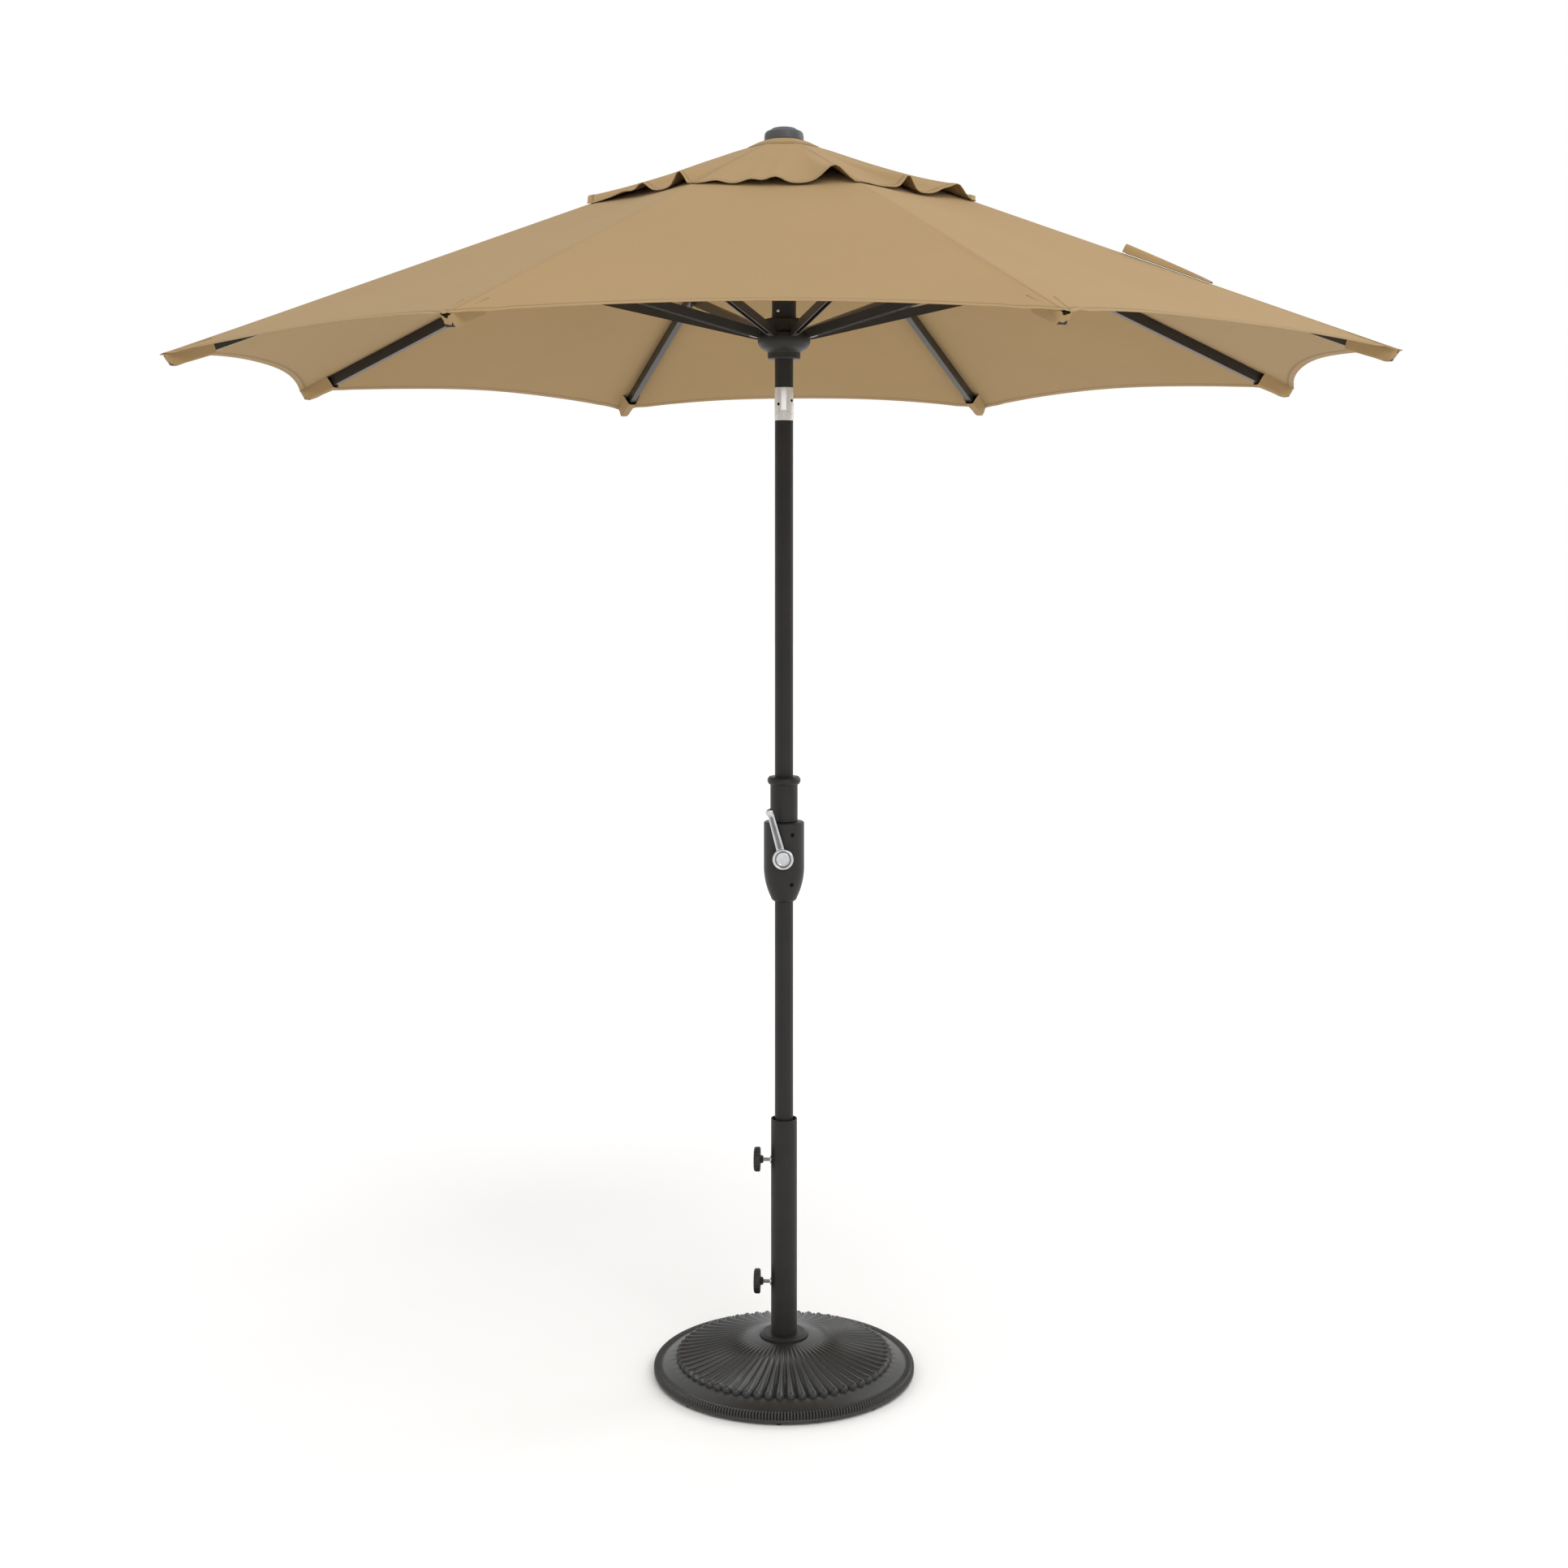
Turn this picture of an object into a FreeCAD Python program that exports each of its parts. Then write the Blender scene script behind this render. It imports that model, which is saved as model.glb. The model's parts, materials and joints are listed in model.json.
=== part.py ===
import FreeCAD, Part
import math
import os
import Sketcher

# Patio umbrella with base: an eight-rib market umbrella with one wind vent, a crank lift, a collar tilt
# and a round cast base.
# Frame: millimetres, +Z up, origin on the ground at the pole's axis. The crank faces -Y and the two
# clamp knobs point to -X. The umbrella is modelled open and upright.

DIMENSIONS = {
    # pole
    "pole_radius": 19.05,
    "pole_wall": 1.5,
    "lower_pole_bottom": 92,
    "lower_pole_top": 1036,
    "mid_pole_bottom": 1088,
    "tilt_bottom": 1974,
    "tilt_axis_height": 2009,
    "tilt_top": 2043,
    "upper_pole_top": 2530,
    # base
    "foot_height": 4,
    "foot_radius": 7,
    "foot_circle": 257,
    "plate_radius": 270,
    "rim_height": 25,
    "rim_bottom_width": 24,
    "flute_radius": 222,
    "flute_height": 43,
    "band_height": 33,
    "crown_radius": 50,
    "crown_height": 76,
    "plate_wall": 14,
    "tube_radius": 27,
    "tube_wall": 2,
    "tube_top": 525,
    "flange_height": 7,
    "flange_top_radius": 43,
    "bolt_radius": 5,
    "bolt_head_radius": 8.5,
    "bolt_head_height": 6,
    "bolt_nut_radius": 9,
    "bolt_nut_height": 8,
    # clamp knobs
    "knob_upper_height": 439,
    "knob_lower_height": 186,
    "knob_radius": 25,
    "knob_outer_face": 63,
    "knob_inner_face": 49,
    "knob_neck_radius": 7.75,
    "knob_neck_end": 43,
    "clamp_screw_radius": 4,
    "clamp_screw_tip": 19.4,
    "clamp_nut_radius": 6,
    # crank housing
    "housing_top": 1142,
    "housing_shoulder": 1048,
    "housing_nose": 985,
    "housing_bottom": 977,
    "housing_radius": 42,
    "housing_nose_radius": 27.5,
    "housing_taper_radius": 144,
    "housing_wall": 3,
    "housing_screw_radius": 2.5,
    "housing_screw_length": 6,
    "crank_boss_radius": 9,
    "housing_screw_high": 1118,
    "housing_screw_low": 1015,
    "housing_screw_azimuth": 27,
    # crank
    "crank_height": 1070,
    "crank_lean": 15.5,
    "crank_length": 102,
    "crank_hub_radius": 21.5,
    "crank_root_width": 17,
    "crank_tip_width": 12,
    "crank_face": 54,
    "crank_thickness": 7,
    "crank_shaft_radius": 5,
    "crank_knob_radius": 7.5,
    "crank_knob_length": 22,
    "spool_radius": 11,
    "spool_flange_radius": 15,
    "spool_width": 22,
    # tilt collar
    "collar_bottom": 1143,
    "collar_step": 1219,
    "collar_top": 1235,
    "collar_radius": 28.5,
    "collar_flange_radius": 34.5,
    # tilt joint
    "tilt_radius": 19.5,
    "tilt_ear_radius": 12,
    "tilt_tongue_radius": 18,
    "tilt_tongue_width": 18.4,
    "tilt_ear_gap": 19.2,
    "tilt_socket_rim": 1990,
    "tilt_collar_base": 2024,
    "tilt_pin_radius": 4,
    # top hub and finial
    "hub_bottom": 2516,
    "hub_radius": 54,
    "hub_slot_start": 27.5,
    "hub_slot_width": 15,
    "rib_pin_radius": 2.5,
    "rib_pin_length": 23,
    "finial_radius": 41,
    "finial_shoulder": 2565,
    "finial_rim_top": 2571,
    "finial_dome_radius": 28,
    "finial_top": 2582,
    "pulley_height": 2470,
    "pulley_radius": 12,
    "pulley_width": 6,
    "pulley_axle_radius": 2,
    # runner
    "runner_bottom": 2101,
    "runner_collar_top": 2116,
    "runner_collar_radius": 34,
    "runner_bulge_bottom": 2126,
    "runner_bulge_top": 2150,
    "runner_bulge_radius": 55,
    "runner_neck_radius": 41,
    "runner_neck_bottom": 2162,
    "runner_top": 2185,
    "runner_slot_start": 38,
    "runner_slot_width": 13.2,
    "sleeve_radius": 25,
    "sleeve_top": 2262,
    # ribs and struts
    "rib_count": 8,
    "canopy_slope": 21.7,
    "rib_apex_height": 2550.5,
    "rib_pivot_radius": 40,
    "rib_end_radius": 1222,
    "rib_width": 14,
    "rib_height": 23,
    "rib_wall": 1.4,
    "rib_solid_end": 40,
    "bracket_radius": 600,
    "bracket_drop": 23.5,
    "bracket_sheet": 1.2,
    "bracket_length": 34,
    "bracket_pin_radius": 3,
    "strut_width": 12,
    "strut_height": 19.5,
    "strut_wall": 1.4,
    "strut_eye_radius": 7.5,
    "strut_foot_radius": 52,
    "strut_foot_height": 2152,
    "strut_channel_margin": 22,
    # canopy
    "canopy_radius": 1235,
    "canopy_apex_height": 2566,
    "canopy_inner_radius": 170,
    "canopy_thickness": 1.5,
    "hem_rise": 62,
    "canopy_gap": 0.5,
    "vent_apex_height": 2568.4,
    "vent_inner_radius": 22,
    "vent_outer_radius": 420,
    "vent_lift": 25,
}

SIXTEENTH = 22.5                 # degrees from a rib to the middle of the panel beside it
RUNNING_GAP = 0.1                # radial clearance of a shaft in its bore
SLIDING_GAP = 0.35               # radial clearance of a collar that slides on the pole

doc = FreeCAD.newDocument("patio_umbrella")
dims = doc.addObject("Spreadsheet::Sheet", "dims")
for row, (alias, number) in enumerate(DIMENSIONS.items(), start=1):
    dims.set("A%d" % row, alias)
    dims.set("B%d" % row, str(number))
    dims.setAlias("B%d" % row, alias)
doc.recompute()

nodes = []


def size(expression):
    """The number that an expression over the sheet gives."""
    result = dims.evalExpression(expression)
    return float(getattr(result, "Value", result))


def bind(thing, **expressions):
    """Bind properties of an object to expressions over the sheet."""
    for name, expression in expressions.items():
        thing.setExpression(name, expression)
    return thing


def node(thing, name, placement=None):
    """Name a finished sub-part and, where it needs one, place it."""
    thing.Label = name
    if placement is not None:
        thing.Placement = placement
    nodes.append(thing)
    return thing


def placed(x=0, y=0, z=0, axis=(0, 0, 1), angle=0):
    return FreeCAD.Placement(FreeCAD.Vector(x, y, z), FreeCAD.Rotation(FreeCAD.Vector(*axis), angle))


# ---- sketch helpers ----

def origin_plane(body, role):
    for feature in body.Origin.OriginFeatures:
        if feature.Role == role:
            return feature
    raise ValueError("no plane " + role)


def new_sketch(body, role, offset=None):
    sketch = body.newObject("Sketcher::SketchObject", body.Name + "_sketch")
    sketch.AttachmentSupport = [(origin_plane(body, role), "")]
    sketch.MapMode = "FlatFace"
    if offset is not None:
        sketch.setExpression(".AttachmentOffset.Base.z", offset)
    return sketch


def fix(sketch, kind, place, expression):
    """A dimension of the sketch that follows an expression."""
    index = sketch.addConstraint(Sketcher.Constraint(kind, *place, size(expression)))
    sketch.setExpression("Constraints[%d]" % index, expression)


def arc_between(start, end, radius, side):
    """The shorter arc from start to end. Side 1 has the centre on the left of the way along."""
    middle = (start + end) * 0.5
    way = end - start
    reach = math.sqrt(radius * radius - way.Length * way.Length / 4)
    left = FreeCAD.Vector(-way.y, way.x, 0).normalize()
    centre = middle + left * (reach * side)
    crown = centre + (middle - centre).normalize() * radius
    if side > 0:
        return Part.Arc(start, crown, end)
    return Part.Arc(end, crown, start)


def draw(sketch, points):
    """Closed outline through (x, y) expressions. (x, y, radius, side) arrives by an arc."""
    spots = [FreeCAD.Vector(size(point[0]), size(point[1]), 0) for point in points]
    first = len(sketch.Geometry)
    ends = []
    for number, point in enumerate(points):
        start, end = spots[number - 1], spots[number]
        if len(point) == 2:
            sketch.addGeometry(Part.LineSegment(start, end), False)
            ends.append((1, 2))
            continue
        sketch.addGeometry(arc_between(start, end, size(point[2]), point[3]), False)
        ends.append((1, 2) if point[3] > 0 else (2, 1))
    for number, point in enumerate(points):
        after = (number + 1) % len(points)
        this_end = (first + number, ends[number][1])
        next_start = (first + after, ends[after][0])
        sketch.addConstraint(Sketcher.Constraint("Coincident", *this_end, *next_start))
        fix(sketch, "DistanceX", this_end, point[0])
        fix(sketch, "DistanceY", this_end, point[1])
        if len(point) > 2:
            fix(sketch, "Radius", (first + number,), point[2])
    return sketch


def draw_circle(sketch, x, y, radius):
    centre = FreeCAD.Vector(size(x), size(y), 0)
    index = sketch.addGeometry(Part.Circle(centre, FreeCAD.Vector(0, 0, 1), size(radius)), False)
    fix(sketch, "DistanceX", (index, 3), x)
    fix(sketch, "DistanceY", (index, 3), y)
    fix(sketch, "Radius", (index,), radius)
    return sketch


# ---- feature helpers ----

def new_body(name):
    return doc.addObject("PartDesign::Body", name)


def revolve(name, points, role="XZ_Plane", axis="V_Axis", angle=360, turned=False):
    """A turned piece: its half outline goes round the sketch's axis."""
    body = new_body(name)
    sketch = draw(new_sketch(body, role), points)
    feature = body.newObject("PartDesign::Revolution", name + "_turned")
    feature.Profile = sketch
    feature.ReferenceAxis = (sketch, [axis])
    feature.Angle = angle
    feature.Reversed = turned
    return body


def add_pad(body, sketch, length, both_sides=False, turned=False):
    pad = body.newObject("PartDesign::Pad", body.Name + "_pad")
    pad.Profile = sketch
    pad.setExpression("Length", length)
    pad.Midplane = both_sides
    pad.Reversed = turned
    return pad


def add_pocket(body, sketch, length=None, both_sides=False, turned=False):
    """Cut a sketch into the body, right through it where no length is given."""
    pocket = body.newObject("PartDesign::Pocket", body.Name + "_pocket")
    pocket.Profile = sketch
    if length is None:
        pocket.Type = "ThroughAll"
    else:
        pocket.setExpression("Length", length)
    pocket.Midplane = both_sides
    pocket.Reversed = turned
    return pocket


def around(body, feature, count):
    """Repeat a feature round the vertical axis."""
    pattern = body.newObject("PartDesign::PolarPattern", body.Name + "_pattern")
    pattern.Originals = [feature]
    pattern.Axis = (next(f for f in body.Origin.OriginFeatures if f.Role == "Z_Axis"), [""])
    pattern.Angle = 360
    pattern.setExpression("Occurrences", count)
    body.Tip = pattern
    return pattern


def rod(name, radius, length, placement):
    """A round bar along the local Z of its placement."""
    bar = doc.addObject("Part::Cylinder", name)
    bind(bar, Radius=radius, Height=length)
    bar.Placement = placement
    return bar


def group(name, members):
    """Separate solids that share one node."""
    bundle = doc.addObject("Part::Compound", name)
    bundle.Links = members
    return bundle


def cut(name, base, tools):
    """A piece with tools taken out of it."""
    result = doc.addObject("Part::Cut", name)
    result.Base = base
    result.Tool = tools[0] if len(tools) == 1 else join(name + "_tools", tools)
    return result


def join(name, members):
    fused = doc.addObject("Part::MultiFuse", name)
    fused.Shapes = members
    return fused


def tube(name, radius, wall, bottom, top):
    """A round tube standing on the axis."""
    inner = "%s - %s" % (radius, wall)
    return revolve(name, [(inner, bottom), (radius, bottom), (radius, top), (inner, top)])


# ---- base ----

def make_base():
    """Cast plate with a hollow underside, its stand tube, the fasteners and the feet."""
    rim_inner = "dims.plate_radius - dims.rim_bottom_width"
    plate = revolve("base_plate", [
        ("dims.bolt_radius + 0.2", "dims.crown_height - dims.plate_wall"),
        ("dims.crown_radius", "dims.crown_height - dims.plate_wall"),
        ("dims.flute_radius", "dims.band_height - dims.plate_wall"),
        (rim_inner, "dims.rim_height - dims.plate_wall"),
        (rim_inner, "dims.foot_height"),
        ("dims.plate_radius - 3", "dims.foot_height"),
        ("dims.plate_radius", "dims.foot_height + 3"),
        ("dims.plate_radius", "dims.rim_height - 9"),
        ("dims.plate_radius - 9", "dims.rim_height", "9", 1),
        ("dims.plate_radius - 18", "dims.rim_height - 1"),
        ("dims.flute_radius + 2", "dims.band_height"),
        ("dims.flute_radius", "dims.flute_height"),
        ("dims.crown_radius + 2", "dims.crown_height"),
        ("dims.bolt_radius + 0.2", "dims.crown_height"),
    ])
    node(plate, "base_plate")

    wall_inner = "dims.tube_radius - dims.tube_wall"
    stand = revolve("tube_blank", [
        ("dims.bolt_radius + 0.2", "dims.crown_height"),
        ("dims.crown_radius", "dims.crown_height"),
        ("dims.crown_radius", "dims.crown_height + 3"),
        ("dims.flange_top_radius", "dims.crown_height + dims.flange_height"),
        ("dims.tube_radius", "dims.crown_height + dims.flange_height"),
        ("dims.tube_radius", "dims.tube_top"),
        (wall_inner, "dims.tube_top"),
        (wall_inner, "dims.crown_height + dims.flange_height"),
        ("dims.bolt_radius + 0.2", "dims.crown_height + dims.flange_height"),
    ])
    holes = []
    for name, height in (("upper", "knob_upper_height"), ("lower", "knob_lower_height")):
        spot = placed(-size("dims.tube_radius") - 5, 0, size("dims." + height), (0, 1, 0), 90)
        holes.append(rod("nut_hole_" + name, "dims.clamp_nut_radius + 0.05", "10", spot))
    node(cut("base_tube_drilled", stand, holes), "base_tube")

    bolt_bottom = size("dims.crown_height - dims.plate_wall - dims.bolt_head_height")
    top_of_flange = size("dims.crown_height + dims.flange_height")
    head = rod("bolt_head", "dims.bolt_head_radius", "dims.bolt_head_height", placed(z=bolt_bottom))
    shank = rod("bolt_shank", "dims.bolt_radius",
                "dims.plate_wall + dims.flange_height + 16", placed(z=bolt_bottom + 2))
    bolt_nut = rod("bolt_nut", "dims.bolt_nut_radius", "dims.bolt_nut_height", placed(z=top_of_flange))
    pieces = [join("centre_bolt", [head, shank, bolt_nut])]
    for name, height in (("upper", "knob_upper_height"), ("lower", "knob_lower_height")):
        nut = revolve("clamp_nut_" + name, [
            ("-dims.tube_radius - 1.5", "dims.clamp_screw_radius + %g" % RUNNING_GAP),
            ("-21", "dims.clamp_screw_radius + %g" % RUNNING_GAP),
            ("-21", "dims.clamp_nut_radius"),
            ("-dims.tube_radius - 0.2", "dims.clamp_nut_radius"),
            ("-dims.tube_radius - 0.2", "dims.clamp_nut_radius + 2"),
            ("-dims.tube_radius - 1.5", "dims.clamp_nut_radius + 2"),
        ], "XY_Plane", "H_Axis")
        nut.Placement = placed(z=size("dims." + height))
        pieces.append(nut)
    node(group("base_fasteners", pieces), "base_fasteners")

    feet = []
    for number in range(8):
        turn = math.radians(45 * number)
        reach = size("dims.foot_circle")
        spot = placed(reach * math.cos(turn), reach * math.sin(turn))
        feet.append(rod("foot_%d" % (number + 1), "dims.foot_radius", "dims.foot_height", spot))
    node(group("base_feet", feet), "base_feet")


def make_clamp_knob(name, height):
    """A round knob moulded on the head of a screw that presses on the pole."""
    spot = placed(z=size("dims." + height))
    screw_head = "-dims.knob_inner_face - 5"
    bore = "dims.clamp_screw_radius + 0.05"
    knob = revolve(name, [
        ("-dims.knob_neck_end", bore),
        ("-dims.knob_neck_end", "dims.knob_neck_radius"),
        ("-dims.knob_inner_face", "dims.knob_neck_radius"),
        ("-dims.knob_inner_face", "dims.knob_radius - 1"),
        ("-dims.knob_inner_face - 1", "dims.knob_radius"),
        ("-dims.knob_outer_face + 4", "dims.knob_radius"),
        ("-dims.knob_outer_face", "dims.knob_radius - 5", "8", 1),
        ("-dims.knob_outer_face", "0"),
        (screw_head + " - 0.05", "0"),
        (screw_head + " - 0.05", bore),
    ], "XY_Plane", "H_Axis")
    node(knob, name, spot)
    screw = revolve(name + "_screw", [
        (screw_head, "0"),
        ("-dims.clamp_screw_tip", "0"),
        ("-dims.clamp_screw_tip", "dims.clamp_screw_radius - 1.2"),
        ("-dims.clamp_screw_tip - 1.2", "dims.clamp_screw_radius"),
        (screw_head, "dims.clamp_screw_radius"),
    ], "XY_Plane", "H_Axis")
    node(screw, name + "_screw", spot)


# ---- mast: lower pole, crank housing, middle pole, lower half of the tilt joint ----

def make_mast():
    lower = tube("lower_pole", "dims.pole_radius", "dims.pole_wall",
                 "dims.lower_pole_bottom", "dims.lower_pole_top")
    node(lower, "lower_pole")
    middle = tube("mid_pole", "dims.pole_radius", "dims.pole_wall",
                  "dims.mid_pole_bottom", "dims.tilt_bottom")
    node(middle, "mid_pole")
    make_housing()
    make_tilt_socket()


def housing_shell(name, turned):
    """Half of the housing: a straight drum over a bullet nose, closed on the pole at both ends."""
    bore = "dims.pole_radius + 0.1"
    outer = "dims.housing_radius"
    inner = "dims.housing_radius - dims.housing_wall"
    return revolve(name, [
        (bore, "dims.housing_bottom"),
        ("dims.pole_radius + 2.5", "dims.housing_bottom"),
        ("dims.housing_nose_radius", "dims.housing_nose", "12", 1),
        (outer, "dims.housing_shoulder", "dims.housing_taper_radius", 1),
        (outer, "dims.housing_top - 4"),
        (outer + " - 4", "dims.housing_top", "4", 1),
        (bore, "dims.housing_top"),
        (bore, "dims.housing_top - dims.housing_wall"),
        (inner, "dims.housing_top - dims.housing_wall"),
        (inner, "dims.housing_shoulder"),
        ("dims.housing_nose_radius - 1", "dims.housing_nose + 9", "dims.housing_taper_radius", -1),
        (bore, "dims.housing_nose + 5"),
    ], angle=180, turned=turned)


def make_housing():
    front = housing_shell("front_shell", True)
    rear = housing_shell("rear_shell", False)
    level = size("dims.crank_height")
    towards_crank = placed(0, 0, level, (1, 0, 0), 90)
    shaft_hole = rod("shaft_hole", "dims.crank_shaft_radius + %g" % RUNNING_GAP, "60", towards_crank)
    screw_holes = []
    screws = []
    for name in ("high", "low"):
        height = size("dims.housing_screw_" + name)
        turn = placed(angle=size("dims.housing_screw_azimuth"))
        along = turn.multiply(placed(0, 0, height, (1, 0, 0), 90))
        screw_hole = rod("screw_hole_" + name, "dims.housing_screw_radius + %g" % RUNNING_GAP, "60", along)
        screw_holes.append(screw_hole)
        start = size("dims.housing_radius") - (8 if name == "high" else 12.4)
        shank_spot = along.multiply(placed(z=start))
        screws.append(rod("housing_screw_" + name, "dims.housing_screw_radius", "dims.housing_screw_length",
                          shank_spot))
    node(cut("front_shell_drilled", front, [shaft_hole] + screw_holes), "housing_front")

    back_of_boss = size("dims.housing_radius - dims.housing_wall")
    boss_outer = rod("boss_outer", "dims.crank_boss_radius", "12.5",
                     placed(0, back_of_boss + 0.5, level, (1, 0, 0), 90))
    boss_bore = rod("boss_bore", "dims.crank_shaft_radius + %g" % RUNNING_GAP, "14",
                    placed(0, back_of_boss - 2.5, level, (1, 0, 0), 90))
    rear_with_boss = join("rear_shell_boss", [rear, boss_outer])
    node(cut("rear_shell_bored", rear_with_boss, [boss_bore]), "housing_rear")
    node(group("housing_screws", screws), "housing_screws")


def joint_block(name, bottom, top, plug_bottom, plug_top):
    """Round stub of a tilt joint half with the plug that enters the pole."""
    plug = "dims.pole_radius - dims.pole_wall - 0.1"
    lowest_is_plug = size(plug_bottom) < size(bottom)
    if lowest_is_plug:
        points = [("0", plug_bottom), (plug, plug_bottom), (plug, bottom), ("dims.tilt_radius", bottom),
                  ("dims.tilt_radius", top), ("0", top)]
    else:
        points = [("0", bottom), ("dims.tilt_radius", bottom), ("dims.tilt_radius", top), (plug, top),
                  (plug, plug_top), ("0", plug_top)]
    return revolve(name, points)


def make_tilt_socket():
    """Lower half of the tilt joint: a stub with two round ears, and the pin through them."""
    stub = joint_block("socket_stub", "dims.tilt_bottom", "dims.tilt_socket_rim", "dims.tilt_bottom - 26",
                       "dims.tilt_bottom")
    ears = new_body("socket_ears")
    sketch = new_sketch(ears, "YZ_Plane")
    ear = "dims.tilt_ear_radius"
    draw(sketch, [
        ("-" + ear, "dims.tilt_socket_rim - 1"),
        (ear, "dims.tilt_socket_rim - 1"),
        (ear, "dims.tilt_axis_height"),
        ("0", "dims.tilt_axis_height + dims.tilt_ear_radius", ear, 1),
        ("-" + ear, "dims.tilt_axis_height", ear, 1),
    ])
    add_pad(ears, sketch, "2 * dims.tilt_radius", both_sides=True)
    round_bar = rod("ear_bar", "dims.tilt_radius", "60", placed(z=size("dims.tilt_bottom")))
    rounded = doc.addObject("Part::Common", "ears_rounded")
    rounded.Base = ears
    rounded.Tool = round_bar
    gap = doc.addObject("Part::Box", "ear_gap")
    bind(gap, Length="dims.tilt_ear_gap", Width="80", Height="60")
    gap.Placement = placed(-size("dims.tilt_ear_gap") / 2, -40, size("dims.tilt_socket_rim"))
    pin_hole = rod("socket_pin_hole", "dims.tilt_pin_radius + 0.02", "80",
                   placed(-40, 0, size("dims.tilt_axis_height"), (0, 1, 0), 90))
    node(cut("tilt_socket_cut", join("socket_blank", [stub, rounded]), [gap, pin_hole]), "tilt_socket")
    half_pin = size("dims.tilt_radius") - 0.8
    pin = rod("tilt_pin", "dims.tilt_pin_radius", "2 * dims.tilt_radius - 1.6",
              placed(-half_pin, 0, size("dims.tilt_axis_height"), (0, 1, 0), 90))
    node(pin, "tilt_pin")


def make_tilt_tongue():
    """Upper half of the tilt joint: a rounded tongue between the ears under a stub."""
    stub = joint_block("tongue_stub", "dims.tilt_collar_base", "dims.tilt_top", "dims.tilt_top",
                       "dims.tilt_top + 26")
    tongue = new_body("tongue_plate")
    sketch = new_sketch(tongue, "YZ_Plane")
    reach = "dims.tilt_tongue_radius"
    draw(sketch, [
        ("-" + reach, "dims.tilt_axis_height"),
        ("0", "dims.tilt_axis_height - dims.tilt_tongue_radius", reach, 1),
        (reach, "dims.tilt_axis_height", reach, 1),
        (reach, "dims.tilt_collar_base + 1"),
        ("-" + reach, "dims.tilt_collar_base + 1"),
    ])
    add_pad(tongue, sketch, "dims.tilt_tongue_width", both_sides=True)
    round_bar = rod("tongue_bar", "dims.tilt_radius", "60", placed(z=size("dims.tilt_bottom")))
    rounded = doc.addObject("Part::Common", "tongue_rounded")
    rounded.Base = tongue
    rounded.Tool = round_bar
    pin_hole = rod("tongue_pin_hole", "dims.tilt_pin_radius + 0.08", "80",
                   placed(-40, 0, size("dims.tilt_axis_height"), (0, 1, 0), 90))
    node(cut("tilt_tongue_cut", join("tongue_blank", [stub, rounded]), [pin_hole]), "tilt_tongue")


def make_tilt_collar():
    """The ring that is turned by hand to tilt the canopy."""
    bore = "dims.pole_radius + %g" % SLIDING_GAP
    collar = revolve("tilt_collar", [
        (bore, "dims.collar_bottom"),
        ("dims.collar_radius", "dims.collar_bottom"),
        ("dims.collar_radius", "dims.collar_step"),
        ("dims.collar_flange_radius - 4", "dims.collar_step"),
        ("dims.collar_flange_radius - 4", "dims.collar_top", "10", 1),
        (bore, "dims.collar_top"),
    ])
    node(collar, "tilt_collar")


# ---- crank ----

def make_crank():
    """Crank arm, its knob, the shaft into the housing and the spool that winds the lift line."""
    hub = placed(0, 0, size("dims.crank_height"), (0, 1, 0), -size("dims.crank_lean"))
    arm = new_body("crank_arm")
    face = "dims.crank_face"
    disc = draw_circle(new_sketch(arm, "XZ_Plane", face + " - dims.crank_thickness - 2"), "0", "0",
                       "dims.crank_hub_radius")
    add_pad(arm, disc, "dims.crank_thickness + 2")
    root = "dims.crank_root_width / 2"
    tip = "dims.crank_tip_width / 2"
    bar = draw(new_sketch(arm, "XZ_Plane", face + " - dims.crank_thickness"), [
        ("-" + root, "0"),
        (root, "0"),
        (tip, "dims.crank_length"),
        ("-" + tip, "dims.crank_length", "dims.crank_tip_width / 2 + 0.01", 1),
    ])
    add_pad(arm, bar, "dims.crank_thickness - 1")
    channel = draw(new_sketch(arm, "XZ_Plane", face + " - 1"), [
        ("-" + root + " + 3", "dims.crank_hub_radius - 1"),
        (root + " - 3", "dims.crank_hub_radius - 1"),
        (tip + " - 2.6", "dims.crank_length - 12"),
        ("-" + tip + " + 2.6", "dims.crank_length - 12"),
    ])
    add_pocket(arm, channel, "2.5")
    dish = draw_circle(new_sketch(arm, "XZ_Plane", face), "0", "0", "dims.crank_hub_radius - 4")
    add_pocket(arm, dish, "1.2")
    node(arm, "crank_arm", hub)

    shaft_back = size("dims.housing_radius - dims.housing_wall") - 4
    shaft_length = shaft_back + size("dims.crank_face - dims.crank_thickness - 2")
    shaft = rod("crank_shaft", "dims.crank_shaft_radius", str(shaft_length),
                placed(0, shaft_back, size("dims.crank_height"), (1, 0, 0), 90))
    node(shaft, "crank_shaft")

    half = "dims.spool_width / 2"
    spool = revolve("cord_spool", [
        ("dims.crank_shaft_radius + 0.02", "-" + half),
        ("dims.spool_flange_radius", "-" + half),
        ("dims.spool_flange_radius", "-" + half + " + 2"),
        ("dims.spool_radius", "-" + half + " + 2"),
        ("dims.spool_radius", half + " - 2"),
        ("dims.spool_flange_radius", half + " - 2"),
        ("dims.spool_flange_radius", half),
        ("dims.crank_shaft_radius + 0.02", half),
    ])
    node(spool, "cord_spool", placed(0, 0, size("dims.crank_height"), (1, 0, 0), 90))

    radius = "dims.crank_knob_radius"
    knob = revolve("crank_knob", [
        ("0", "0"),
        ("3", "0"),
        ("3", "3"),
        (radius, "4"),
        (radius, "dims.crank_knob_length - 4"),
        (radius + " - 4", "dims.crank_knob_length", "4.2", 1),
        ("0", "dims.crank_knob_length"),
    ])
    knob_start = size("dims.crank_face - 1") + 0.3
    grip = hub.multiply(placed(0, -knob_start, size("dims.crank_length"), (1, 0, 0), 90))
    node(knob, "crank_knob", grip)


# ---- upper mast: upper pole, hub, rib pins, finial and lift pulley ----

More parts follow.
